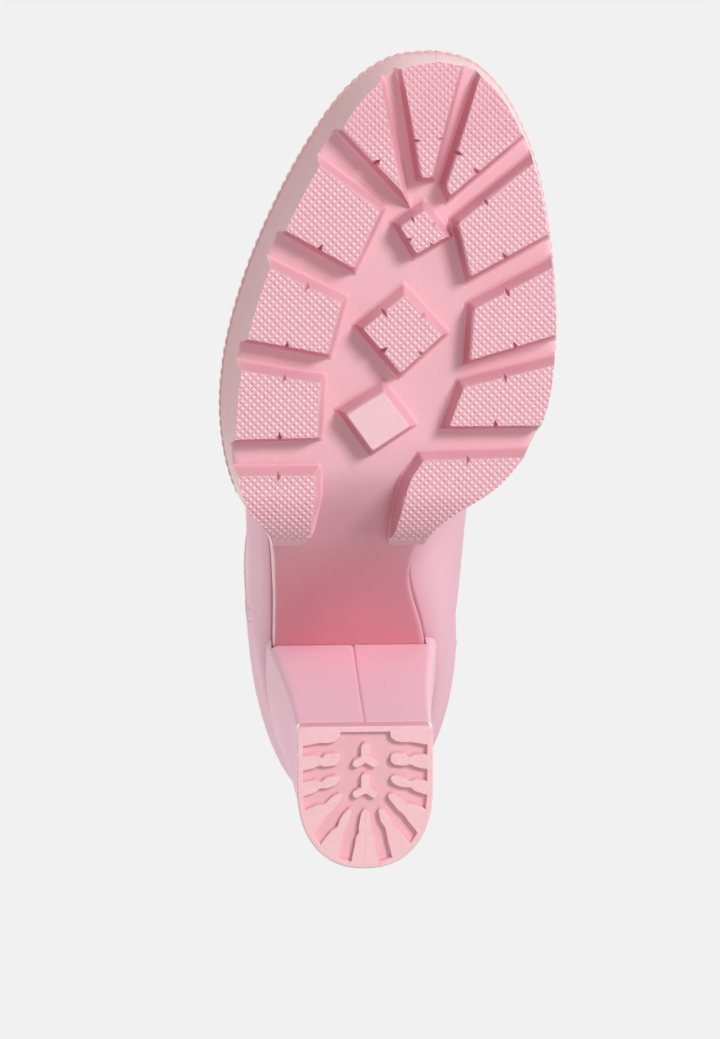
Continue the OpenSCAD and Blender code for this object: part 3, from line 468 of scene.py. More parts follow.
def outset(polygon: Array, reach: float) -> Array:
    """Polygon with every edge moved out by a distance, its corners kept sharp.

    A corner moves along the sum of its two edge normals, over one plus their dot product.

    Args:
        polygon: corners in order.
        reach: distance out, or in where negative.

    Returns:
        The moved corners.
    """
    along = unit(np.roll(polygon, -1, 0) - polygon)
    area = np.sum(polygon[:, 0] * np.roll(polygon[:, 1], -1) - polygon[:, 1] * np.roll(polygon[:, 0], -1))
    out = np.sign(area) * at(along[:, 1], -along[:, 0])
    before = np.roll(out, 1, 0)
    return polygon + reach * (out + before) / (1 + np.sum(out * before, -1, keepdims=True))


def rounded(polygon: Array, radius: float, steps: int = 4) -> Array:
    """Polygon with each corner turned into a short parabola between points on its two edges.

    Args:
        polygon: corners in order.
        radius: length of edge that a corner takes up.
        steps: points on each parabola.

    Returns:
        Points of the soft outline.
    """
    behind, ahead = np.roll(polygon, 1, 0) - polygon, np.roll(polygon, -1, 0) - polygon
    reach = np.minimum(radius, 0.45 * np.minimum(np.linalg.norm(behind, axis=-1), np.linalg.norm(ahead, axis=-1)))
    a = (polygon + unit(behind) * reach[:, None])[:, None]
    c = (polygon + unit(ahead) * reach[:, None])[:, None]
    t = np.linspace(0, 1, steps)[None, :, None]
    return ((1 - t) ** 2 * a + 2 * t * (1 - t) * polygon[:, None] + t**2 * c).reshape(-1, 2)


def signed_distance(x: Array, y: Array, polygon: Array) -> Array:
    """Distance of points from a polygon's edge, negative inside.

    The distance is the least of those to the edges. A point is inside if a level ray from it crosses an odd number
    of edges.

    Args:
        x: places across.
        y: places along.
        polygon: corners in order.

    Returns:
        Distances, in the shape of x.
    """
    a, b = polygon, np.roll(polygon, -1, 0)
    p = at(x.ravel(), y.ravel()).astype(np.float32)[:, None]
    e = (b - a).astype(np.float32)[None]
    w = p - a.astype(np.float32)[None]
    t = np.clip(np.sum(w * e, -1) / np.sum(e * e, -1), 0, 1)
    gap = np.sqrt(np.min(np.sum((w - e * t[..., None]) ** 2, -1), 1))
    straddles = (a[None, :, 1] > p[..., 1]) != (b[None, :, 1] > p[..., 1])
    rise = np.where(np.abs(e[..., 1]) < 1e-9, 1e-9, e[..., 1])
    crosses = straddles & (p[..., 0] < a[None, :, 0] + e[..., 0] * w[..., 1] / rise)
    inside = np.sum(crosses, 1) % 2 == 1
    return np.where(inside, -gap, gap).reshape(x.shape)


@dataclass(frozen=True)
class Last:
    """Foot form that the pieces are measured from, in millimetres, with its rings.

    Rings are counted by k: 0 at the toe, 15 at the back of the heel and 22 at the topline. On a ring, v runs from 0
    at the feather line or back seam to 1 on the crest.
    """

    platform_h: float = 25.0
    lug_h: float = 7.5
    heel_h: float = 88.0
    shaft_h: float = 131.0
    waist_t: float = 5.5
    seat_gap: float = 0.35
    heel_x: float = -7.6
    heel_k: float = 15.0
    top_k: float = 22.0
    breast_top_y: float = 58.2
    front_rise: float = 3.5
    feather_outer: tuple = (
        (13, -117), (2, -115.5), (-9, -107.5), (-20, -92), (-30.5, -73), (-38, -53), (-42.5, -33), (-43, -14),
        (-40, 4), (-34.5, 18), (-32.6, 37), (-32, 58), (-32, 77), (-28.5, 94), (-20.5, 108.5), (-7.6, 116.5))
    feather_inner: tuple = (
        (13, -117), (22, -114.5), (30, -106), (37, -91), (41.5, -73), (43.4, -53), (43, -35), (39.5, -18.5),
        (30, -2), (13, 15), (8, 33), (13.5, 56), (16.5, 77), (13.5, 94.5), (5.5, 109), (-7.6, 116.5))
    welt_reach: tuple = (5, 5, 5, 5, 4.5, 4.8, 5.2, 5.4, 4.2, 0.6, 0, 0, 0, 0, 0, 0)
    rise_y0: float = -40.0
    rise_step: float = 20.0
    bed_rise: tuple = (0, 0, 0.05, 0.25, 0.52, 0.76, 0.9, 0.975, 1)
    floor_rise: tuple = (0, 0, 0.02, 0.3, 0.7, 1, 1.17)
    crest_plan: tuple = (
        (13, -117), (13, -118.6), (13, -116), (12, -105), (10.5, -88), (8.5, -69.5), (6.5, -53), (4.5, -40),
        (3, -31), (1.5, -24.5), (0, -19), (-1.5, -14), (-3, -9.5), (-4.2, -5.5), (-5.2, -2), (-6, 1.5), (-6.5, 5),
        (-7, 8.3), (-7.3, 11), (-7.5, 13), (-7.5, 14.7), (-7.5, 16), (-7.5, 17))
    crest_rise: tuple = (0, 10.6, 24.6, 36.2, 44.6, 52.6, 60.8, 67.7, 69.2, 65.4, 54.9, 44, 40.1, 41.2, 46.1, 52.8)
    shin_share: tuple = (0, 0.1, 0.215, 0.35, 0.5, 0.665, 0.835, 1)
    back_share: tuple = (0, 0.09, 0.2, 0.335, 0.49, 0.655, 0.825, 1)
    back_y: tuple = (116.5, 120.2, 121.9, 120.6, 117, 113.7, 112.3, 112.5)
    belly_outer: tuple = (
        13, 1, -10.5, -22.5, -33.5, -41.5, -46, -48.5, -49.5, -49.5, -48.5, -46.5, -44.5, -43.5, -46, -48.5, -48.5,
        -48.5, -48, -47, -46, -45.5, -45)
    crest_outer: tuple = (
        13, 6.5, -1, -8, -14.5, -20, -24, -27.5, -31.5, -34.5, -37.5, -38.5, -39.5, -40, -40.5, -41.5, -42.5, -44,
        -45.5, -46.5, -46, -45.5, -45)
    belly_inner: tuple = (
        13, 23.5, 32, 39.5, 43.5, 46, 46.5, 46.5, 44, 42.5, 41, 37.5, 34.5, 33.5, 36, 40.5, 43, 42, 41, 40, 40, 40, 40)
    crest_inner: tuple = (
        13, 19, 24, 28, 30.5, 31.5, 31, 30.5, 31.5, 32.5, 33, 32, 30.5, 30.5, 31, 35, 37, 38, 39, 40, 40, 40, 40)
    belly_share: tuple = (
        0.6, 0.6, 0.6, 0.62, 0.62, 0.62, 0.62, 0.58, 0.5, 0.43, 0.39, 0.36, 0.33, 0.27, 0.15, 0, 0, 0, 0, 0, 0, 0, 0)
    belly_lift: tuple = (0, 0, 0, 0, 0, 0, 0, 0, 0, 0, 1, 3, 7, 12, 18, 24, 18, 11, 5, 1, 0, 0, 0)
    ease_reach: float = 1.82
    ease_v: float = 0.12
    ease_span: float = 3.3
    ease_taps: int = 17
    edge_step: float = 0.05
    skin_step: float = 0.01
    toe_k: float = 0.1
    on_line: float = 0.001

    def rise(self, shares: tuple, y: Values) -> Array:
        """Share of a climb at a place along the foot."""
        t = (np.asarray(y, float) - self.rise_y0) / self.rise_step
        return spline(shares, np.clip(t, 0, len(shares) - 1))

    def bed(self, y: Values) -> Array:
        """Height of the foot bed: flat over the platform, then a climb to the heel seat."""
        return self.platform_h + (self.heel_h - self.platform_h) * self.rise(self.bed_rise, y)

    def floor(self, y: Values) -> Array:
        """Height of the sole's underside: flat behind the lugs, then a climb to the heel breast."""
        breast = self.bed(self.breast_top_y) - self.waist_t
        return self.lug_h + (breast - self.lug_h) * self.rise(self.floor_rise, y)

    def feather(self, side: Side, k: Array) -> Array:
        """Plan of the feather line at ring k."""
        return spline(self.feather_outer if side is Side.OUTER else self.feather_inner, k)

    def edge(self, side: Side, k: Array, out: Values) -> Array:
        """Plan of a line moved out from the feather line, square to it.

        The direction comes from the points a step behind and ahead. At the toe the one behind is on the other side of
        the foot, so the two sides share one normal there.

        Args:
            side: side of the foot.
            k: ring numbers.
            out: distance moved out.

        Returns:
            Plan points.
        """
        k = np.asarray(k, float)
        step = self.edge_step
        other = Side.INNER if side is Side.OUTER else Side.OUTER
        before = np.abs(k - step)
        behind = np.where((k < step)[..., None], self.feather(other, before), self.feather(side, before))
        along = unit(self.feather(side, k + step) - behind)
        square = side.value * at(along[..., 1], -along[..., 0])
        return self.feather(side, k) + np.asarray(out, float)[..., None] * square

    def welt_edge(self, side: Side, k: Array, out: Values) -> Array:
        """Plan of a line moved out from the welt's outer edge."""
        return self.edge(side, k, spline(self.welt_reach, k) + out)

    def heel_seat(self) -> Array:
        """Height of the upper's edge at the back of the heel."""
        return self.bed(self.feather_outer[-1][1]) + self.seat_gap

    def foot(self, side: Side, k: Array) -> Array:
        """Lower end of each ring: along the feather line to the heel, then up the back seam.

        Args:
            side: side of the foot.
            k: ring numbers.

        Returns:
            Points.
        """
        p = self.feather(side, np.minimum(k, self.heel_k))
        low = lift(p, self.bed(p[..., 1]) + self.seat_gap)
        up = np.clip(k - self.heel_k, 0, self.top_k - self.heel_k)
        high = self.heel_seat() + self.shaft_h * spline(self.back_share, up)
        back = at(self.heel_x, spline(self.back_y, up), high)
        return np.where((k < self.heel_k)[..., None], low, back)

    def crest(self, k: Array) -> Array:
        """Upper end of each ring: over the toe and instep, then up the shin.

        Args:
            k: ring numbers.

        Returns:
            Points.
        """
        p = spline(self.crest_plan, k)
        low_k = np.minimum(k, self.heel_k)
        low = self.bed(self.feather(Side.OUTER, low_k)[..., 1]) + self.seat_gap + spline(self.crest_rise, low_k)
        share = spline(self.shin_share, np.clip(k - self.heel_k, 0, self.top_k - self.heel_k))
        high = self.heel_seat() + mix(self.crest_rise[-1], self.shaft_h + self.front_rise, share)
        return lift(p, np.where(k < self.heel_k, low, high))

    def ring(self, side: Side, k: Array, v: Array) -> Array:
        """Point of a ring: a cubic curve from its foot, by a lower and an upper handle, to its crest.

        Args:
            side: side of the foot.
            k: ring numbers.
            v: places on the rings.

        Returns:
            Points.
        """
        outer = side is Side.OUTER
        f, r = self.foot(side, k), self.crest(k)
        h = (r - f) * spline(self.belly_share, k)[..., None]
        belly = spline(self.belly_outer if outer else self.belly_inner, k)
        brow = spline(self.crest_outer if outer else self.crest_inner, k)
        low = at(belly, f[..., 1] + h[..., 1], f[..., 2] + h[..., 2] + spline(self.belly_lift, k))
        high = at(brow, r[..., 1], r[..., 2])
        v = v[..., None]
        w = 1 - v
        return w**3 * f + 3 * w * w * v * low + 3 * w * v * v * high + v**3 * r

    def skin(self, side: Side, k: Array, v: Array) -> Array:
        """Outer face of the upper.

        Round the back of the heel each ring is averaged with its neighbours, under a tent of weights, so that the
        corner under the back seam is rounded.

        Args:
            side: side of the foot.
            k: ring numbers.
            v: places on the rings.

        Returns:
            Points, with three coordinates on the last axis.
        """
        k, v = np.broadcast_arrays(np.asarray(k, float), np.asarray(v, float))
        near = np.maximum(0, 1 - np.abs(k - self.heel_k) / self.ease_span)
        reach = self.ease_reach * np.minimum(1, v / self.ease_v) * near
        taps = np.linspace(-1, 1, self.ease_taps)
        weights = (1 - np.abs(taps)) / np.sum(1 - np.abs(taps))
        return sum(w * self.ring(side, np.clip(k + reach * t, 0, self.top_k), v) for w, t in zip(weights, taps))

    def normal(self, side: Side, k: Array, v: Array) -> Array:
        """Outward normal of the upper: level along the feather line, in the middle plane on crest and back seam.

        Args:
            side: side of the foot.
            k: ring numbers.
            v: places on the rings.

        Returns:
            Vectors of length one.
        """
        k, v = np.broadcast_arrays(np.asarray(k, float), np.asarray(v, float))
        step = self.skin_step
        k0 = np.maximum(self.toe_k, k)
        dv = self.skin(side, k0, np.minimum(1, v + step)) - self.skin(side, k0, np.maximum(0, v - step))
        dk = self.skin(side, np.minimum(self.top_k, k0 + step), v) - self.skin(side, k0 - step, v)
        n = -side.value * np.cross(dv, dk)
        low = v < self.on_line
        middle = (v > 1 - self.on_line) | (low & (k >= self.heel_k))
        level = low & (k < self.heel_k)
        n[..., 0] = np.where(middle, 0, n[..., 0])
        n[..., 2] = np.where(level, 0, n[..., 2])
        n = np.where((k <= 0)[..., None], np.array([0.0, -1.0, 0.0]), n)
        return unit(n)


LAST = Last()
Rows = list[tuple[Side, Array, Array]]


class Graph:
    """Node tree under construction, with short ways to add and join nodes."""

    def __init__(self, tree: Tree) -> None:
        """Keeps the tree."""
        self.tree = tree

    def join(self, value: object, into: Socket) -> None:
        """Links a socket to an input, or sets the input to a number or colour.

        Args:
            value: what goes in.
            into: the input.
        """
        if isinstance(value, Socket):
            self.tree.links.new(value, into)
        else:
            into.default_value = value

    def add(self, kind: str, *feeds: object, **values: object) -> bpy.types.Node:
        """New node of a kind, with its properties set by name and its first inputs fed in order.

        Args:
            kind: Blender's name of the kind of node.
            feeds: sockets, numbers or colours for the first inputs.
            values: the node's properties.

        Returns:
            The node.
        """
        node = self.tree.nodes.new(kind)
        for name, value in values.items():
            setattr(node, name, value)
        for value, socket in zip(feeds, node.inputs):
            self.join(value, socket)
        return node

    def maths(self, how: str, *feeds: object) -> Socket:
        """Sum, product or other operation on sockets and numbers."""
        return self.add("ShaderNodeMath", *feeds, operation=how).outputs[0]

    def blend(self, factor: Socket, a: object, b: object) -> Socket:
        """Colour between two colours, each a socket or a colour.

        Args:
            factor: share of the second colour.
            a: first colour.
            b: second colour.

        Returns:
            The blend's socket.
        """
        node = self.add("ShaderNodeMix", factor, data_type="RGBA")
        self.join(a, node.inputs[6])
        self.join(b, node.inputs[7])
        return node.outputs[2]

    def texture(self, kind: str, place: Socket, scale: object, **values: object) -> dict:
        """Outputs of a texture node at a place, with a scale that is a socket or a number.

        Args:
            kind: kind of texture.
            place: where on the surface.
            scale: fineness.
            values: the node's properties.

        Returns:
            The node's outputs.
        """
        node = self.add("ShaderNodeTex" + kind, place, **values)
        self.join(scale, node.inputs["Scale"])
        return node.outputs

    def eased(self, value: Socket, first: float, final: float) -> Socket:
        """Mask that falls with level ends from 1 at the first value to 0 at the final one."""
        return self.add(
            "ShaderNodeMapRange", value, first, final, 1.0, 0.0, interpolation_type="SMOOTHSTEP").outputs["Result"]

    def effect(self, name: str, **given: object) -> Socket:
        """Output of a shared effect, with its inputs given by name.

        Args:
            name: name of the effect.
            given: its inputs.

        Returns:
            The effect's socket.
        """
        node = self.add("ShaderNodeGroup", node_tree=Effects.get(name))
        for key, value in given.items():
            self.join(value, node.inputs[key])
        return node.outputs[0]


class Effects:
    """Shader node groups that more than one finish uses; each puts out one mask or height."""

    @classmethod
    def get(cls, name: str) -> Tree:
        """Group of an effect, built when it is first asked for."""
        return bpy.data.node_groups.get(name) or getattr(cls, name)()

    @staticmethod
    def start(name: str, dial: str, value: float, output: str) -> tuple[Graph, dict, Socket]:
        """Empty group with a vector input for the place on the surface, one number to set and one output.

        Args:
            name: name of the group.
            dial: name of the number.
            value: its usual value.
            output: name of the output.

        Returns:
            The group's graph, its inputs and the socket that takes its result.
        """
        group = bpy.data.node_groups.new(name, "ShaderNodeTree")
        group.interface.new_socket("Place", in_out="INPUT", socket_type="NodeSocketVector")
        group.interface.new_socket(dial, in_out="INPUT", socket_type="NodeSocketFloat").default_value = value
        group.interface.new_socket(output, in_out="OUTPUT", socket_type="NodeSocketFloat")
        g = Graph(group)
        return g, g.add("NodeGroupInput").outputs, g.add("NodeGroupOutput").inputs[output]

    @classmethod
    def mottle(cls) -> Tree:
        """Slow cloudy variation with a finer one over it, from 0 to 1.

        Returns:
            The group.
        """
        g, given, out = cls.start("mottle", "Scale", 40.0, "Mask")
        slow = g.texture("Noise", given["Place"], given["Scale"])["Fac"]
        slow.node.inputs["Detail"].default_value = 3.0
        fine = g.texture("Noise", given["Place"], g.maths("MULTIPLY", given["Scale"], 9.0))["Fac"]
        g.join(g.maths("MULTIPLY_ADD", fine, 0.3, g.maths("MULTIPLY", slow, 0.7)), out)
        return g.tree

    @classmethod
    def grain(cls) -> Tree:
        """Height of a coated grain: rounded cells with fine dust between them.

        Returns:
            The group.
        """
        g, given, out = cls.start("grain", "Scale", 900.0, "Height")
        cells = g.texture("Voronoi", given["Place"], given["Scale"], feature="SMOOTH_F1")["Distance"]
        dust = g.texture("Noise", given["Place"], g.maths("MULTIPLY", given["Scale"], 2.5))["Fac"]
        g.join(g.maths("MULTIPLY_ADD", dust, 0.5, g.maths("SUBTRACT", 1.0, cells)), out)
        return g.tree

    @classmethod
    def crease(cls) -> Tree:
        """Height of leather stretched round a block: the grain, with level wrinkles from noise drawn out sideways.

        Returns:
            The group.
        """
        drawn_out, fineness, strength = (0.06, 0.06, 1.0), 900.0, 3.0
        g, given, out = cls.start("crease", "Scale", 1100.0, "Height")
        skin = g.effect("grain", Place=given["Place"], Scale=given["Scale"])
        drawn = g.add("ShaderNodeVectorMath", given["Place"], drawn_out, operation="MULTIPLY").outputs[0]
        folds = g.texture("Noise", drawn, fineness)["Fac"]
        g.join(g.maths("MULTIPLY_ADD", folds, strength, skin), out)
        return g.tree

    @classmethod
    def wear(cls) -> Tree:
        """Mask of what touches the ground: 1 at the ground, 0 above the reach, broken up by noise.

        Returns:
            The group.
        """
        patch_scale, least = 500.0, 0.4
        g, given, out = cls.start("wear", "Reach", 0.0006, "Mask")
        height = g.add("ShaderNodeSeparateXYZ", given["Place"]).outputs["Z"]
        low = g.eased(g.maths("DIVIDE", height, given["Reach"]), 0.0, 1.0)
        patchy = g.texture("Noise", given["Place"], patch_scale)["Fac"]
        g.join(g.maths("MULTIPLY", low, g.maths("ADD", patchy, least)), out)
        return g.tree

    @classmethod
    def weave(cls) -> Tree:
        """Height of a plain weave: two sets of yarns, each a wave, taken by turns over a checker.

        Returns:
            The group.
        """
        g, given, out = cls.start("weave", "Scale", 1500.0, "Height")
        scaled = g.add("ShaderNodeVectorMath", given["Place"], operation="SCALE")
        g.join(given["Scale"], scaled.inputs["Scale"])
        place = scaled.outputs[0]
        parts = g.add("ShaderNodeSeparateXYZ", place).outputs
        warp, weft = (
            g.maths("ABSOLUTE", g.maths("SINE", g.maths("MULTIPLY", parts[axis], math.pi))) for axis in ("X", "Y"))
        turns = g.texture("Checker", place, 1.0)["Fac"]
        over = g.maths("MULTIPLY", turns, warp)
        under = g.maths("MULTIPLY", g.maths("SUBTRACT", 1.0, turns), weft)
        g.join(g.maths("ADD", over, under), out)
        return g.tree


class Place(Enum):
    """Coordinates that a pattern follows."""

    OBJECT = "Object"
    CLOTH = "UV"


class Relief(Enum):
    """Effects that give a surface its fine relief."""

    GRAIN = "grain"
    CREASE = "crease"
    WEAVE = "weave"


@dataclass(frozen=True)
class Finish:
    """Surface of a piece: a colour with a cloudy change, a fine relief and a gloss that varies with it.

    The base colour goes between two colours with the mottle, then to other tones where an attribute of the mesh marks
    them, and to a worn colour close to the ground. The relief comes from one shared effect through a bump, and the
    roughness rides on the mottle as well.
    """

    name: str
    light: tuple
    dark: tuple
    roughness: tuple[float, float] = (0.45, 0.6)
    mottle_scale: float = 45.0
    relief: Relief = Relief.GRAIN
    relief_scale: float = 1100.0
    relief_depth: float = 0.02
    place: Place = Place.OBJECT
    metallic: float = 0.0
    specular: float = 0.3
    tones: tuple = ()
    worn: tuple | None = None
    wear_reach: float = 0.6

    def colour(self, g: Graph, place: Socket, cloudy: Socket) -> Socket:
        """Base colour: the mottled pair, with the marked tones and the wear over it.

        Args:
            g: the material's graph.
            place: where on the piece.
            cloudy: the mottle.

        Returns:
            The colour's socket.
        """
        colour = g.blend(cloudy, self.dark, self.light)
        for name, tone in self.tones:
            mark = g.add("ShaderNodeAttribute", attribute_name=name)
            colour = g.blend(mark.outputs["Fac"], colour, tone)
        if self.worn:
            colour = g.blend(g.effect("wear", Place=place, Reach=self.wear_reach * MM), colour, self.worn)
        return colour

    def material(self) -> bpy.types.Material:
        """Material of the finish, built once.

        Returns:
            The material.
        """
        found = bpy.data.materials.get(self.name)
        if found:
            return found
        material = bpy.data.materials.new(self.name)
        material.use_nodes = True
        g = Graph(material.node_tree)
        bsdf = material.node_tree.nodes["Principled BSDF"]
        places = g.add("ShaderNodeTexCoord").outputs
        cloudy = g.effect("mottle", Place=places["Object"], Scale=self.mottle_scale)
        g.join(self.colour(g, places["Object"], cloudy), bsdf.inputs["Base Color"])
        low, high = self.roughness
        g.join(g.maths("MULTIPLY_ADD", cloudy, high - low, low), bsdf.inputs["Roughness"])
        relief = g.effect(self.relief.value, Place=places[self.place.value], Scale=self.relief_scale)
        bump = g.add("ShaderNodeBump")
        bump.inputs["Distance"].default_value = self.relief_depth * MM
        g.join(relief, bump.inputs["Height"])
        g.join(bump.outputs["Normal"], bsdf.inputs["Normal"])
        bsdf.inputs["Metallic"].default_value = self.metallic
        bsdf.inputs["Specular IOR Level"].default_value = self.specular
        return material


# The side tone is painted shade: a deeper pink on the lug walls, strongest where they face the heel and the outer side.
SOLE_RUBBER = Finish(
    "moulded_sole", srgb(238, 188, 198), srgb(230, 174, 186), (0.38, 0.5), 30.0, relief_scale=1800.0, relief_depth=0.06,
    specular=0.45, worn=srgb(242, 198, 207),
    # The waist tone is painted shade: a deeper pink on the waist's underside that grows towards the heel breast.
    tones=(("wall", srgb(231, 184, 187)), ("side", srgb(214, 138, 152)), ("waist", srgb(225, 151, 165))))
WELT_RUBBER = Finish("moulded_welt", srgb(235, 188, 192), srgb(227, 177, 182), (0.5, 0.65), 40.0, relief_depth=0.03)
TIP_RUBBER = Finish(
    "moulded_tip", srgb(240, 186, 195), srgb(234, 176, 186), (0.3, 0.42), 60.0, relief_depth=0.01,
    worn=srgb(247, 198, 203), wear_reach=0.8)
# Its one tone is painted shade: a deep pink laid on the leather near the edge pulled over the waist and the heel seat.
UPPER_LEATHER = Finish(
    "coated_leather", srgb(243, 194, 208), srgb(238, 186, 200), (0.5, 0.65), 25.0, relief_depth=0.025,
    specular=0.18, tones=(("lasted", srgb(190, 104, 127)),))
HEEL_LEATHER = Finish(
    "heel_leather", srgb(246, 199, 214), srgb(241, 190, 206), (0.5, 0.65), 30.0, Relief.CREASE, relief_depth=0.025)
THREAD = Finish("thread", srgb(246, 201, 213), srgb(228, 176, 190), (0.6, 0.75), 400.0, relief_scale=4000.0)
LINING_CLOTH = Finish(
    "lining_cloth", srgb(236, 207, 205), srgb(228, 196, 195), (0.75, 0.9), 60.0, Relief.WEAVE, 1600.0, 0.08,
    Place.CLOTH, specular=0.2)
SOCK_CLOTH = Finish(
    "sock_cloth", srgb(235, 203, 201), srgb(226, 190, 190), (0.75, 0.9), 60.0, Relief.WEAVE, 1300.0, 0.1, specular=0.2)
TAPE_CLOTH = Finish(
    "tape_cloth", srgb(238, 190, 203), srgb(226, 172, 188), (0.7, 0.85), 80.0, Relief.WEAVE, 1800.0, 0.12,
    Place.CLOTH, specular=0.25)
ZIP_PLASTIC = Finish("tooth_plastic", srgb(238, 186, 200), srgb(230, 174, 190), (0.25, 0.38), 300.0, relief_depth=0.01)
ZIP_METAL = Finish(
    "plated_metal", srgb(222, 219, 216), srgb(206, 202, 199), (0.16, 0.28), 200.0, relief_depth=0.004, metallic=1.0)
STEEL = Finish(
    "spring_steel", srgb(200, 201, 204), srgb(178, 180, 184), (0.3, 0.45), 120.0, relief_depth=0.01, metallic=1.0)
BOARD = Finish(
    "fibre_board", srgb(206, 186, 158), srgb(184, 160, 130), (0.8, 0.95), 200.0, relief_scale=700.0, relief_depth=0.1)
FOAM = Finish(
    "foam", srgb(232, 230, 220), srgb(220, 217, 206), (0.6, 0.75), 150.0, relief_scale=600.0, relief_depth=0.08)
STIFFENER = Finish("stiffener_sheet", srgb(216, 208, 196), srgb(200, 190, 178), (0.6, 0.7), 150.0, relief_depth=0.05)


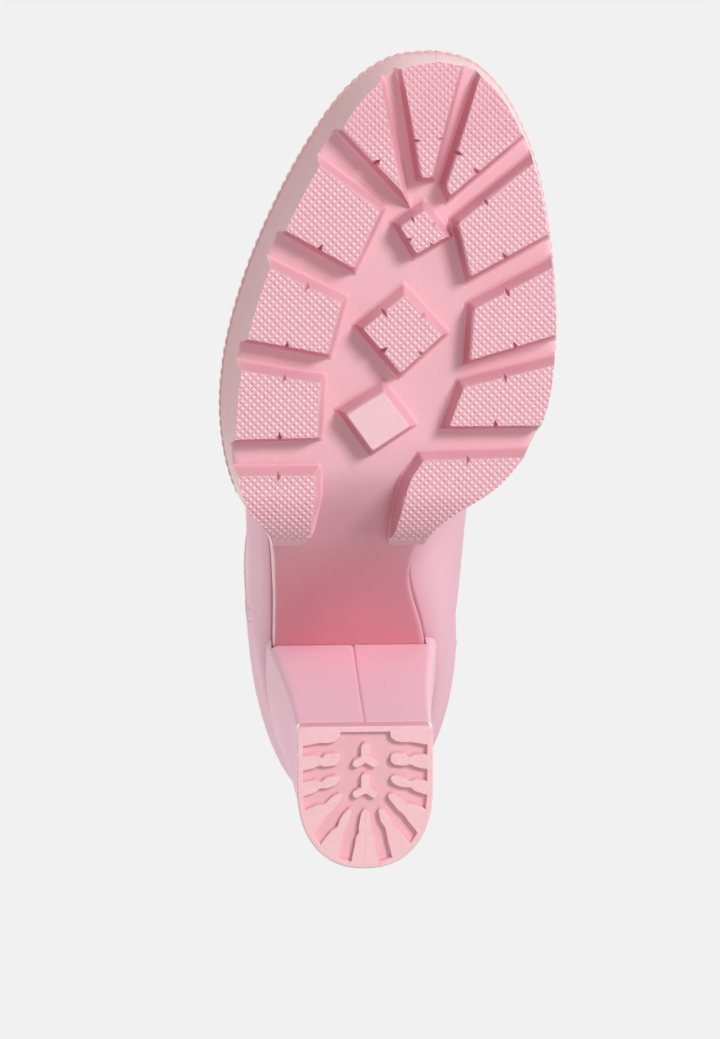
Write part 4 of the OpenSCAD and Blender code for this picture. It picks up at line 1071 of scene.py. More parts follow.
@dataclass
class Outsole:
    """Moulded sole: platform, lugs with a knurled ground face, notches and the waist up to the heel breast."""

    start_k: float = 0.003
    lug_draft: float = 2.2
    lug_levels: tuple = (-0.4, 0.1, 0.5, 2.0, 4.0, 5.9, 6.3, 6.7, 7.1, 7.5, 8.0)
    lug_corner: float = 0.8
    tread_inset: float = 5.0
    inner_inset: float = 2.0
    inset_k: float = 2.5
    rear_k: tuple = (6.2, 2.2)
    wall_inset: float = 0.5
    waist_k: tuple = (8.2, 0.9)
    waist_inset: float = 0.3
    waist_lean: float = 0.2
    bed_slack: float = 0.05
    seat_share: float = 0.6
    limit_k: float = 9.9
    limit_h: float = 1.2
    step_in: float = 1.2
    step_k: tuple = (7.2, 0.8)
    welt_t: float = 1.8
    glue_gap: float = 0.2
    welt_h: float = 6.0
    notch_w: float = 2.0
    notch_h: float = 4.0
    notch_slope: float = 0.8
    toe_roll_y: float = -90.0
    toe_roll_r: float = 150.0
    toe_roll_run: float = 60.0
    rear_roll_y: float = 2.0
    rear_roll_r: float = 18.0
    rear_roll_share: float = 0.85
    tail_k: float = 11.4
    knurl_pitch: float = 1.54
    knurl_pad: float = 0.15
    knurl_h: float = 0.5
    edge_r: float = 1.2
    root_r: float = 1.0
    root_hollow: float = 0.5
    root_share: float = 0.35
    root_sink: float = 2.0
    rim_soft: float = 0.3
    rim_h: float = 0.5
    wall_edge: tuple = (0.1, 0.3)
    wall_steep: tuple = (-0.75, 0.2)
    rim_steep: tuple = (0.3, 0.2)
    rim_y: tuple = (14.0, 4.0)
    rim_drop: float = 0.3
    rim_share: float = 0.2
    painted_shade_steep: tuple = (-0.95, 0.1)
    painted_shade_h: float = 0.7
    painted_shade_least: float = 0.25
    painted_shade_face: tuple = (0.55, -0.5, 0.7)
    under_reach: float = 1.5
    waist_shade_y: tuple = (2.0, 40.0)
    smooth_y: tuple = (15.0, 7.0)
    sole_wall: float = 7.0
    sole_floor: float = 4.0
    filler_k: tuple = (0.7, 7.2)
    shank_y: tuple = (8.0, 60.0)
    shank_x: float = -9.5
    shank_w: float = 13.0
    shank_t: float = 1.6
    side_lugs: tuple = (
        ((-3.5, -113.5), (-8, -122), (-25, -106), (-14.5, -102.5), (2.5, -84.5)),
        ((-21, -91.5), (-30, -98), (-42, -80), (-30.5, -73.5), (-11, -62.5), (-3.5, -78.5)),
        ((-34.5, -62.5), (-50, -69.5), (-54, -44.5), (-41.5, -42.5), (-18.5, -38), (-14.5, -52.5)),
        ((-44, -33.5), (-54, -35.5), (-54, -13.5), (-21.5, -14), (-20.5, -29.5)),
        ((3.5, -118.5), (3, -126), (20.5, -126), (18.5, -118), (11, -88), (8.5, -88)),
        ((25, -114.5), (30, -122), (48, -109), (36.5, -100), (16.5, -83), (15.5, -85.5)),
        ((19, -75), (39, -91), (50, -100.5), (56, -78), (44.5, -72), (22.5, -60)),
        ((23.5, -50.5), (44.5, -61.5), (56, -67.5), (58, -46.5), (46.5, -43), (22.5, -36)),
        ((20.5, -28), (45.5, -34), (58, -37), (54, -17), (16.5, -17)))
    rear_lugs: tuple = (
        ((-54, -3), (-47, 14), (-40, 18), (-28.5, 18.5), (-24.5, 14), (-22, 4), (-22, -3)),
        ((9, -7), (50, -8), (36, 12), (20, 18), (9, 20), (4, 23), (2, 23), (3, 10), (4.2, 2.5), (5.5, -1.5)))
    diamond_lugs: tuple = (
        ((2.5, -74), (9, -78.5), (15, -71), (7, -66.5)),
        ((-8, -45), (3.5, -54.5), (14, -43), (2.5, -32.5)),
        ((-13, -20.5), (-2.5, -27), (5, -17), (-5.5, -10)))
    notches: tuple = (
        (-3, -93.5, 137), (-19.5, -69.5, 119), (-25, -55.5, -63), (-29.5, -42, 101), (-31, -29.5, -80),
        (-32, -16, 90), (-32.5, -1, -90), (8.5, -98.5, 171), (12, -99, 14), (20.5, -94, -162), (22.5, -91, 50),
        (27.5, -79.5, -129), (31, -67, 61), (33.5, -53.5, -118), (34.5, -41.5, 74), (32.5, -29, -103),
        (29.5, -19, 90), (21.5, -5.5, -90), (6.5, -75, -125), (11, -74, -40), (10.5, -70, 60), (6, -71, 150),
        (-1, -48, -130), (7.5, -47.5, -42), (7, -39, 48), (-1, -40, 140))

    def body(self) -> Form:
        """Platform and waist: at each ring a closed section, across the underside, up the wall, over the bed and down.

        The wall leans out to the welt, where a step makes its seat. Along the waist the step fades and the wall meets
        the upper. The underside's two edges are rounded by a quarter circle. The first ring lies a little behind the
        toe's point, where the two sides would fall together.

        Returns:
            The closed form from the toe to the tail.
        """
        k = np.linspace(self.start_k, self.tail_k, 300)
        f = crowded(40)
        waist = ramp(k, *self.waist_k)
        wall_out = mix(-self.wall_inset, -self.waist_inset, waist)
        seat_out = mix(-self.welt_t - self.glue_gap, -self.waist_inset, waist)
        lean = -self.waist_inset - self.waist_lean
        low_l, low_r = (LAST.welt_edge(s, k, mix(self.wall_out(s, k, LAST.lug_h), lean, waist)) for s in Side)
        wall_l, wall_r = (LAST.welt_edge(s, k, wall_out) for s in Side)
        top_l, top_r = (LAST.welt_edge(s, k, seat_out) for s in Side)
        low = mix(low_l[:, None], low_r[:, None], f[None, :, None])
        width = np.linalg.norm(low_r - low_l, axis=-1)[:, None]
        low_z = LAST.floor(low[..., 1]) + quarter(np.minimum(f, 1 - f)[None, :] * width, self.edge_r)
        top = mix(top_r[:, None], top_l[:, None], f[None, :, None])
        top_z = LAST.bed(top[..., 1]) + (LAST.seat_gap - self.bed_slack) * waist[:, None]
        right, left = ([self.seat_point(p)[:, None] for p in pair] for pair in ((wall_r, top_r), (top_l, wall_l)))
        return loft(np.concatenate([lift(low, low_z), *right, lift(top, top_z), *left], 1))

    def wall_out(self, side: Side, k: Array, z: float) -> Array:
        """Reach of the leaning wall at a height, from the tread's edge to the welt.

        The tread's edge is set back more on the outer side, from a little behind the toe to the rear of the tread.

        Args:
            side: side of the foot.
            k: ring numbers.
            z: height above the ground.

        Returns:
            Distances out from the welt's edge.
        """
        back = np.minimum(1, k / self.inset_k) * (1 - ramp(k, *self.rear_k))
        inset = mix(self.inner_inset, self.tread_inset, back * (side is Side.OUTER))
        return mix(-inset, -self.wall_inset, z / (LAST.platform_h - self.welt_h))

    def seat_point(self, p: Array) -> Array:
        """Point of the welt's seat on the sole's side wall."""
        bed, floor = LAST.bed(p[:, 1]), LAST.floor(p[:, 1])
        return lift(p, bed - np.minimum(self.welt_h + self.glue_gap, self.seat_share * (bed - floor)))

    def lug(self, corners: tuple) -> Form:
        """Drafted lug: its ground outline moved out as it rises, with a hollow fillet at the root and a soft rim.

        The last ring lies inside the body, part of the way from its underside to the foot bed.

        Args:
            corners: outline on the ground.

        Returns:
            The closed form.
        """
        outline = np.array(corners, float)
        z = np.array(self.lug_levels)
        draft = self.lug_draft * z / z[-1]
        fillet = self.root_hollow * np.clip((z - LAST.lug_h + self.root_r) / self.root_r, 0, 1) ** 2
        rim = self.rim_soft * np.clip((self.rim_h - z) / self.rim_h, 0, 1)
        levels = zip(z, draft + fillet - rim)
        rings = [lift(rounded(outset(outline, d), self.lug_corner), h) for h, d in levels]
        plan = rounded(outset(outline, self.lug_draft), self.lug_corner)
        sunk = mix(LAST.floor(plan[:, 1]), LAST.bed(plan[:, 1]), self.root_share)
        rings.append(lift(plan, np.maximum(sunk, LAST.lug_h + self.root_sink)))
        return loft(np.stack(rings))

    def limit(self) -> Form:
        """Space inside the tread's edge, which leans out from the ground, then steps in to lie inside the body.

        Returns:
            The closed form.
        """
        k = np.linspace(0, self.limit_k, 240)
        root, seat = LAST.lug_h + self.limit_h, LAST.platform_h - self.welt_h - 0.5
        low, high, core = -1.0, LAST.platform_h + 10, -self.welt_t - 1
        step = self.step_in * (1 - ramp(k, *self.step_k))
        rings = []
        for z in (low, root, root + 0.3, seat, seat + 0.2, high):
            outs = {s: self.wall_out(s, k, z) - step * (z > root) if z <= seat else core for s in Side}
            rings.append(lift(closed(*(LAST.welt_edge(s, k, out) for s, out in outs.items())), z))
        return loft(np.stack(rings))

    def rear_limit(self) -> Form:
        """Space in front of the rolled rear end of the tread: a bar whose lower rear edge is a quarter circle.

        Returns:
            The closed form.
        """
        a = np.linspace(0, np.pi / 2, 40)
        slack = 0.05
        y = self.rear_roll_y + (self.rear_roll_r + slack) * np.sin(a)
        z = self.rear_roll_r - (self.rear_roll_r + slack) * np.cos(a)
        low, high, front, half = -5.0, 60.0, -150.0, 80.0
        yz = np.concatenate([
            [[front, low], [self.rear_roll_y, low]], at(y, z), [[y[-1], high], [front, high]]])
        return bar(yz, -half, half)

    def ground_z(self, y: Array) -> Array:
        """Ground face of the lugs: flat, with a long roll at the toe and a short one at the rear.

        Args:
            y: places along the foot.

        Returns:
            Heights.
        """
        toe = np.clip(self.toe_roll_y - y, 0, self.toe_roll_run)
        rear = np.clip(y - self.rear_roll_y, 0, self.rear_roll_share * self.rear_roll_r)
        return (self.toe_roll_r - np.sqrt(self.toe_roll_r**2 - toe**2)
                + self.rear_roll_r - np.sqrt(self.rear_roll_r**2 - rear**2))

    def knurl(self) -> Form:
        """Slab over the ground face: a lattice of small flat-topped pyramids turned by 45 degrees.

        Corners of the cells are raised by the knurl's height, and a square pad in the middle of each cell stays on the
        ground face. The height fades at the rear and is nil on the last diamond.

        Returns:
            The closed slab.
        """
        cells, centre, high, margin = 122, np.array([2.0, -55.0]), 40.0, 1.5
        n = cells + 1
        grid = (np.arange(n) - cells / 2) * self.knurl_pitch / math.sqrt(2)
        u, v = np.meshgrid(grid, grid, indexing="ij")
        xy = at(u - v, u + v) + centre
        corners = np.stack([xy[:-1, :-1], xy[1:, :-1], xy[1:, 1:], xy[:-1, 1:]], 2)
        pad = mix(corners.mean(2, keepdims=True), corners, self.knurl_pad)
        bare = outset(np.array(self.diamond_lugs[-1], float), margin)
        plain = signed_distance(xy[..., 0], xy[..., 1], bare) < 0
        rise = self.knurl_h * np.where(plain, 0, 1 - ramp(xy[..., 1], *self.smooth_y))
        layers = (lift(xy, self.ground_z(xy[..., 1]) + rise), lift(pad, self.ground_z(pad[..., 1])), lift(xy, high))
        face = grid_faces(n, n)
        tip = n * n + np.arange(4 * cells * cells).reshape(-1, 4)
        slopes = [at(face[:, i], face[:, j], tip[:, j], tip[:, i]) for i, j in enumerate((1, 2, 3, 0))]
        shift = n * n + tip.size
        points = np.concatenate([p.reshape(-1, 3) for p in layers])
        return Form(points, [*slopes, tip, face[:, ::-1] + shift, grid_rim(n, n, shift)]).outward()

    def notch(self, x: float, y: float, turn: float) -> Form:
        """V-shaped wedge that opens away from its tip, which runs out as it rises.

        Args:
            x: place of the tip across.
            y: place of the tip along.
            turn: direction in degrees.

        Returns:
            The closed form.
        """
        a = math.radians(turn)
        spin = np.array([[math.cos(a), math.sin(a)], [-math.sin(a), math.cos(a)]])
        rings = []
        for z in (-1.0, self.notch_h):
            tip, end = z * self.notch_slope, 3 * self.notch_w
            half = 0.5 * (end - tip)
            rings.append(lift(np.array([(tip, 0), (end, half), (end, -half)]) @ spin + (x, y), z))
        return loft(np.stack(rings))

    def filler_pocket(self) -> Form:
        """Pocket for the platform's filler, a glue gap larger than it all round.

        Returns:
            The closed form.
        """
        k = np.linspace(*self.filler_k, 40)
        out = self.glue_gap - self.sole_wall
        plan = np.concatenate([LAST.edge(Side.OUTER, k, out), LAST.edge(Side.INNER, k[::-1], out)])
        heights = (LAST.lug_h + self.sole_floor - self.glue_gap, LAST.platform_h + 1)
        return loft(np.stack([lift(plan, z) for z in heights]))

    def shank_groove(self) -> Form:
        """Groove for the steel shank along the waist.

        Returns:
            The closed form.
        """
        y = np.linspace(self.shank_y[0] - self.glue_gap, self.shank_y[1] + self.glue_gap, 30)
        bed = LAST.bed(y)
        half = self.shank_w / 2 + self.glue_gap
        deep = self.shank_t + 2 * self.glue_gap
        section = ((-half, -deep), (half, -deep), (half, 1.0), (-half, 1.0))
        rings = [at(self.shank_x + dx, y, bed + dz) for dx, dz in section]
        return loft(np.stack(rings, 1))

    def build(self) -> None:
        """Makes the sole: lugs joined, cut to the tread's edge and ground face, notched and set on the body."""
        lugs = [self.lug(c) for c in self.side_lugs + self.diamond_lugs + self.rear_lugs]
        tread = lugs[0].piece("tread")
        steps = [(Cut.JOIN, lug.piece("lug")) for lug in lugs[1:]]
        steps += [(Cut.KEEP, f.piece("limit")) for f in (self.limit(), self.rear_limit(), self.knurl())]
        steps += [(Cut.TAKE, self.notch(*n).piece("notch")) for n in self.notches]
        carve(tread, steps)
        sole = self.body().piece("lug_sole")
        carve(sole, [
            (Cut.JOIN, tread),
            (Cut.TAKE, self.filler_pocket().piece("pocket")),
            (Cut.TAKE, self.shank_groove().piece("groove"))])
        weld_points(sole.data)
        self.mark_tones(sole)
        dress(sole, SOLE_RUBBER, "sole_rubber", "lug_outsole", crisp=26.0)

    def mark_tones(self, sole: Piece) -> None:
        """Marks faces that take a tone of their own.

        The wall is the steep faces outside the tread's edge on the ground, and in part the waist's rim. The sides are
        the other steep faces above the knurl, most of all those that face the heel and the outer side: their deeper
        tone is painted shade. The waist is the climbing underside, more and more towards the heel, and its deeper
        tone there is painted shade too.

        Args:
            sole: the finished sole.
        """
        middle, out = face_values(sole, "center") / MM, face_values(sole, "normal")
        x, y, z = middle.T
        upright = -np.abs(out[:, 2])
        k = np.linspace(0, 9, 60)
        beyond = signed_distance(x, y, closed(*(LAST.welt_edge(s, k, self.wall_out(s, k, 0.0)) for s in Side)))
        floor = LAST.floor(y)
        under = smooth(self.under_reach - np.abs(z - floor))
        rim = ramp(np.abs(out[:, 0]), *self.rim_steep) * ramp(y, *self.rim_y) * (z > floor - self.rim_drop)
        wall = np.maximum(ramp(beyond, *self.wall_edge) * ramp(upright, *self.wall_steep), self.rim_share * rim)
        # Painted shade: steep lug walls above the knurl take the deeper side tone, more where they face the heel and
        # the outer side, away from the key lamp.
        side = ramp(upright, *self.painted_shade_steep) * (z - self.ground_z(y) > self.painted_shade_h) * (1 - wall)
        level, to_inner, to_heel = self.painted_shade_face
        side *= mix(self.painted_shade_least, 1, smooth(level + to_inner * out[:, 0] + to_heel * out[:, 1]))
        mark_faces(sole, "wall", wall)
        mark_faces(sole, "side", side * (1 - under))
        # Painted shade: the waist's underside takes a deeper tone that grows towards the heel breast.
        mark_faces(sole, "waist", under * ramp(y, *self.waist_shade_y))


@dataclass
class Welt:
    """Ribbed strip round the platform's upper edge."""

    height: float = 6.0
    thickness: float = 1.8
    rib_pitch: float = 3.0
    rib_depth: float = 0.4
    rib_power: float = 1.5
    rib_points: int = 14
    core_t: float = 0.2
    end_k: float = 8.1
    glue_gap: float = 0.2
    soft: float = 0.6

    def stations(self, side: Side) -> tuple[Array, Array]:
        """Rings and run lengths along one side, at an even spacing from the toe.

        Args:
            side: side of the foot.

        Returns:
            Ring numbers and run lengths.
        """
        k = np.linspace(0, self.end_k, 2000)
        run = run_length(LAST.welt_edge(side, k, 0.0))
        whole = math.floor(run[-1] / self.rib_pitch) * self.rib_pitch
        even = np.arange(0, whole, self.rib_pitch / self.rib_points)
        return np.interp(even, run, k), even

    def build(self) -> None:
        """Makes the strip: a soft-edged section carried round the toe, its face waved in by narrow grooves."""
        low, high, s = -self.height, -self.glue_gap, self.soft
        profile = (
            (None, high), (-s, high), (-0.3 * s, high - 0.3 * s), (0.0, high - s),
            (0.0, low + s), (-0.3 * s, low + 0.3 * s), (-s, low), (None, low))
        sections = []
        for side in Side:
            k, run = self.stations(side)
            face = -self.rib_depth * (1 - np.abs(np.sin(np.pi * run / self.rib_pitch))) ** self.rib_power
            ring = []
            for back, dz in profile:
                out = 0 * face - self.thickness
                if back is not None:
                    out = np.maximum(face + back, out + self.core_t)
                p = LAST.welt_edge(side, k, out)
                ring.append(lift(p, LAST.bed(p[:, 1]) + dz))
            sections.append(np.stack(ring, 1))
        outer, inner = sections
        strip = loft(np.concatenate([outer[:0:-1], inner])).piece("ribbed_strip")
        dress(strip, WELT_RUBBER, "welt_rubber", "ribbed_welt", crisp=50.0)


@dataclass
class Heel:
    """Wrapped block heel and its moulded top piece; a size in pairs is given at the tip and at the seat."""

    width: tuple = (39.2, 51.5)
    length: float = 42.0
    breast_tip_y: float = 70.0
    seat_back_y: float = 116.2
    seat_lean: float = 0.3
    width_power: float = 1.5
    back_power: float = 1.3
    cover_t: float = 1.0
    cover_slack: float = 0.3
    cover_soft: float = 0.5
    cover_lip: float = 1.0
    tip_t: float = 6.0
    tip_recess: float = 1.6
    tip_rim: float = 1.8
    tail_from_k: float = 10.0
    tail_k: float = 11.5
    glue_gap: float = 0.2
    corner: tuple = (1.5, 3.0)
    roundness: tuple = (2.3, 2.0)
    side: tuple = (0.42, 0.15)
    seam_w: float = 0.35
    seam_d: float = 0.7
    seam_strip: float = 2.0
    tip_soft: float = 0.28
    tip_edge: float = 0.45
    stud_ys: tuple = (9.5, 18.5)
    stud_arms: tuple = ((-90, 3.4), (30, 2.9), (150, 2.9))
    stud_arm_w: float = 2.5
    tip_lugs: tuple = (
        ((-20, 6.2), (-16, 5.5), (-12.7, 4.8), (-11, 5), (-8.6, 4.6), (-7.2, 3.5), (-7, 1.7), (-7, 0), (-20, 0)),
        ((-19, 8.5), (-14.5, 8.3), (-12.7, 9.2), (-11.5, 8), (-8.6, 7.8), (-7.2, 8.5), (-7.2, 10.7), (-8.6, 11.6),
         (-11.5, 12), (-12.8, 11.4), (-14.5, 12.3), (-19, 13.3)),
        ((-19, 16.5), (-14.5, 15.6), (-12.8, 16.4), (-11.5, 15), (-8.6, 14.3), (-7.2, 15), (-7.3, 16.4),
         (-8.6, 17.5), (-11, 18.3), (-13, 18.2), (-14, 19.3), (-19, 21)),
        ((-18.5, 25), (-14, 23), (-11.7, 22.8), (-11, 21.9), (-9.3, 20.4), (-7.5, 19.6), (-6.4, 20.3),
         (-6.5, 21.2), (-8, 23.2), (-9.7, 25.2), (-11, 26.2), (-11.8, 27.5), (-16, 33)),
        ((-14, 36), (-10, 30.8), (-8, 29.5), (-7.5, 27.6), (-6, 25.2), (-4.5, 24), (-3.6, 24.7), (-4.3, 28),
         (-5.7, 30), (-5.9, 31), (-6.6, 34.5), (-8, 40)),
        ((-4.5, 42), (-3, 34.5), (-2.7, 32.4), (-1.8, 31.3), (-2, 30), (-1.6, 27.5), (-1.1, 25.2), (-0.4, 24.5),
         (0.1, 24.5), (0.1, 42)))

    def middle_x(self, f: float) -> float:
        """Middle of a section at a share of the height."""
        return mix(LAST.heel_x, LAST.heel_x - self.seat_lean, f)

    def plan(self, f: float, inset: float) -> Array:
        """D-shaped section at a share of the height: straight breast, rounded corners, superellipse back.

        Args:
            f: 0 at the tip, 1 at the seat.
            inset: distance in from the cover's face.

        Returns:
            Points round the section, from the left corner by the back to the right one and along the breast.
        """
        half_w = mix(*self.width, f**self.width_power) / 2 - inset
        front = mix(self.breast_tip_y, LAST.breast_top_y, f) + inset
        back = mix(self.breast_tip_y + self.length, self.seat_back_y, f**self.back_power) - inset
        side_y = mix(front, back, mix(*self.side, f))
        corner = mix(*self.corner, f)
        power = 2 / mix(*self.roundness, f)
        c = np.linspace(np.pi / 2, 0, 10)
        turn = at(-half_w + corner * (1 - np.cos(c)), front + corner * (1 - np.sin(c)))
        y = np.linspace(front + corner, side_y, 10)[1:-1]
        flank = at(-half_w, y)
        a = np.linspace(0, np.pi / 2, 44)
        arc = at(-half_w * np.cos(a) ** power, side_y + (back - side_y) * np.sin(a) ** power)
        left = np.concatenate([turn, flank, arc])
        right = left[-2::-1] * (-1, 1)
        strip, plain = self.seam_strip, half_w - corner
        x = np.concatenate([
            np.linspace(plain, strip, 12)[1:], np.linspace(strip, -strip, 41)[1:-1],
            np.linspace(-strip, -plain, 12)[:-1]])
        breast = at(x, front)
        return np.concatenate([left, right, breast]) + (self.middle_x(f), 0)

    def level(self, f: float, inset: float, seam: float) -> Array:
        """Ring of the cover: a section lifted between the tip and the foot bed, with the breast seam drawn in.

        Args:
            f: 0 at the tip, 1 at the seat.
            inset: distance in from the cover's face.
            seam: depth of the seam.

        Returns:
            Points round the ring.
        """
        p = self.plan(f, inset)
        across = p[:, 0] - self.middle_x(f)
        front = mix(self.breast_tip_y, LAST.breast_top_y, f) + inset
        on_breast = (p[:, 1] < front + 0.01) * np.exp(-0.5 * (across / self.seam_w) ** 2)
        y = p[:, 1] + seam * on_breast
        z = mix(self.tip_t + self.glue_gap / 2, LAST.bed(p[:, 1]) - self.glue_gap / 2, f)
        return at(p[:, 0], y, z)

    def tail_room(self) -> Form:
        """Room for the sole's tail behind the top of the breast, as wide as the tail.

        Returns:
            The closed form.
        """
        k = np.linspace(self.tail_from_k, self.tail_k, 24)
        left, right = (LAST.edge(s, k, self.glue_gap) for s in Side)
        section = [lift(e, LAST.floor(e[:, 1]) - self.glue_gap) for e in (left, right)]
        section += [lift(e, LAST.heel_h + 20) for e in (right, left)]
        return loft(np.stack(section, 1))

    def build_cover(self) -> None:
        """Makes the leather cover: two nested stacks of sections, both edges turned in by a quarter circle."""
        soft, lip = self.cover_soft, self.cover_lip
        height = LAST.heel_h - self.tip_t
        f = np.concatenate([
            np.linspace(0, soft, 6) / height, np.linspace(soft / height, 1 - lip / height, 44)[1:-1],
            1 - np.linspace(lip, 0, 8) / height])
        turn = quarter(f * height, soft) + quarter((1 - f) * height, lip)
        outer = np.stack([self.level(x, t, self.seam_d) for x, t in zip(f, turn)])
        inner = np.stack([self.level(x, self.cover_t + self.cover_slack, 0.0) for x in f])
        cover = sleeve(outer, inner).piece("heel_wrap")
        carve(cover, [(Cut.TAKE, self.tail_room().piece("tail"))])
        dress(cover, HEEL_LEATHER, "heel_wrap", "heel_cover", crisp=40.0)

    def pocket(self, x: Array, y: Array) -> Array:
        """Depth of the top piece's recess: an eased step across the edges of the rim, the lugs and the studs.

        Args:
            x: places across.
            y: places along.

        Returns:
            Depths.
        """
        rim = signed_distance(x, y, self.plan(0.0, self.tip_rim)[::2])
        across = -np.abs(x - LAST.heel_x)
        along = y - self.breast_tip_y
        lugs = [signed_distance(across, along, rounded(np.array(p, float), 0.5, 3)) for p in self.tip_lugs]
        studs = []
        for stud_y in self.stud_ys:
            dx, dy = x - LAST.heel_x, along - stud_y
            for turn, reach in self.stud_arms:
                a = math.radians(turn)
                t = np.clip(dx * math.cos(a) + dy * math.sin(a), 0, reach)
                studs.append(np.hypot(dx - t * math.cos(a), dy - t * math.sin(a)) - self.stud_arm_w / 2)
        inside = np.maximum(rim, -np.min(lugs + studs, axis=0))
        return self.tip_recess * smooth(0.5 - inside / self.tip_soft)

    def build_top_piece(self) -> None:
        """Makes the rubber top piece: its outline drawn in to a middle point, with the recess as depth."""
        plan = self.plan(0.0, 0.0)
        loop = np.vstack([plan, plan[:1]])
        run = run_length(loop)
        even = np.linspace(0, run[-1], 900, endpoint=False)
        rim = np.stack([np.interp(even, run, loop[:, i]) for i in (0, 1)], -1)
        middle = np.array([LAST.heel_x, 0.5 * (plan[:, 1].min() + plan[:, 1].max())])
        r = np.concatenate([[0.0], np.linspace(0.02, 1, 105)])
        xy = middle + r[:, None, None] * (rim - middle)
        gap = (1 - r)[:, None] * np.linalg.norm(rim - middle, axis=-1)
        z = self.pocket(xy[..., 0], xy[..., 1]) + quarter(gap, self.tip_edge)
        wall = np.stack([lift(rim, h) for h in np.linspace(self.tip_edge + 0.3, self.tip_t, 6)])
        tip = loft(np.concatenate([lift(xy, z), wall])).piece("heel_tip")
        dress(tip, TIP_RUBBER, "tip_rubber", "heel_top_piece", crisp=50.0)

    def build(self) -> None:
        """Makes both pieces."""
        self.build_cover()
        self.build_top_piece()


@dataclass
class Upper:
    """Leather panels, lining, topline binding and their stitching."""

    outer_t: float = 1.2
    stiffener_t: float = 0.8
    lining_t: float = 0.8
    glue_gap: float = 0.2
    binding_t: float = 0.7
    binding_h: float = 5.0
    binding_proud: float = 0.3
    binding_crown: float = 0.5
    seam_k: float = 7.6
    seam_share: tuple = (0, 0.24, 0.37, 0.44, 0.48, 0.5)
    slot_k: float = 15.6
    slot_ramp: float = 0.3
    slot_w: float = 13.0
    zip_y: float = 64.0
    edge_soft: float = 1.1
    edge_drop: float = 0.55
    tight_k: tuple = (11.5, 3.0)
    foot_k: tuple = (9.0, 1.5)
    foot_v: float = 1e-6
    narrow_w: float = 2.0
    narrow_span: float = 4.0
    lasted_h: float = 14.0
    lasted_edge: float = 1.6
    lasted_y: tuple = (5.0, 20.0)
    half_columns: int = 30
    quarter_columns: int = 36
    crowding: float = 0.9
    stitch_off: float = 2.0
    stitch_top: float = 0.35
    stitch_stop: float = 0.1
    outer_stitch: float = 5.4
    inner_stitch: float = 3.4
    binding_stitch: float = 3.4

    @property
    def lining_d(self) -> float:
        """Depth of the lining's outer face."""
        return self.outer_t + self.stiffener_t + 2 * self.glue_gap

    @property
    def depth(self) -> float:
        """Depth of the upper's inner face."""
        return self.lining_d + self.lining_t

    def seam_v(self, k: Array) -> Array:
        """Place of the side seam on each ring."""
        return spline(self.seam_share, np.clip(k - self.seam_k, 0, 5))

    def zip_v(self, k: Array, off: Values) -> Array:
        """Place on each ring that lies at the zip's line, or off to one side of it."""
        back, front = LAST.foot(Side.INNER, k)[..., 1], LAST.crest(k)[..., 1]
        return 0.5 + ((back + front) / 2 - self.zip_y - off) / (1.5 * (back - front))

    def inner_seam_v(self, k: Array, side: float) -> Array:
        """Place of the inner seam, which parts into the two edges of the zip's slot."""
        half = self.slot_w / 2 * np.clip((k - self.slot_k) / self.slot_ramp, 0, 1)
        return np.where(k < self.slot_k, self.seam_v(k), self.zip_v(k, side * half))

    def columns(self, count: int) -> Array:
        """Shares across a panel, closer together at both edges."""
        t = np.linspace(0, 1, count)
        return t - self.crowding * np.sin(2 * np.pi * t) / (2 * np.pi)

    def sheet(self, rows: Rows, depth: float, thick: float, drop: float) -> Form:
        """Closed panel between two depths, its face turned down along its long edges, less where it is pulled tight.

        Args:
            rows: side, ring numbers and places on the rings of each strip of columns, in order across the panel.
            depth: depth of the face below the upper's skin.
            thick: thickness of the panel.
            drop: how far the face turns down at its edges.

        Returns:
            The closed panel, with its cloth coordinates as lengths along and across it.
        """
        face = np.concatenate([LAST.skin(*r) for r in rows], 1)
        steps = np.linalg.norm(np.diff(face, axis=1), axis=-1)
        run = np.concatenate([np.zeros((len(face), 1)), np.cumsum(steps, 1)], 1)
        ring = rows[0][1][:, :1]
        seam, foot = ramp(ring, *self.tight_k), ramp(ring, *self.foot_k)
        first, final = (np.where(v < self.foot_v, foot, seam) for v in (rows[0][2][:, :1], rows[-1][2][:, -1:]))
        bend = drop * (first * np.clip(1 - run / self.edge_soft, 0, 1) ** 2
                       + final * np.clip(1 - (run[:, -1:] - run) / self.edge_soft, 0, 1) ** 2)
        wide = np.clip((run[:, -1:] - self.narrow_w) / self.narrow_span, 0, 1)
        out = np.concatenate([LAST.normal(*r) for r in rows], 1)
        outer = face - (depth + bend * wide)[..., None] * out
        inner = face - (depth + thick) * out
        along = np.linalg.norm(np.diff(face, axis=0), axis=-1).mean(1)
        climb = np.concatenate([[0], np.cumsum(along)])[:, None]
        return shell(outer, inner, at(run, climb))

    def vamp_rows(self, k: Array) -> Rows:
        """Strips of the vamp: up the outer side, over the crest and down the inner side.

        Args:
            k: ring numbers.

        Returns:
            The two strips.
        """
        kk, n = k[:, None], self.half_columns
        t = self.columns(2 * n + 1)[None]
        outer = mix(self.seam_v(kk), 1, t[:, :n + 1] * 2)
        inner = mix(1, self.inner_seam_v(kk, -1), t[:, n + 1:] * 2 - 1)
        return [(Side.OUTER, kk, outer), (Side.INNER, kk, inner)]

    def outer_rows(self, k: Array) -> Rows:
        """Strip of the outer quarter, from the back seam or feather line to the side seam."""
        v = self.columns(self.quarter_columns)[None] * self.seam_v(k[:, None])
        return [(Side.OUTER, k[:, None], v)]

    def inner_rows(self, k: Array) -> Rows:
        """Strip of the inner quarter, from the side seam or the zip's slot to the back seam or feather line."""
        v = self.columns(self.quarter_columns)[None, ::-1] * self.inner_seam_v(k[:, None], 1)
        return [(Side.INNER, k[:, None], v)]

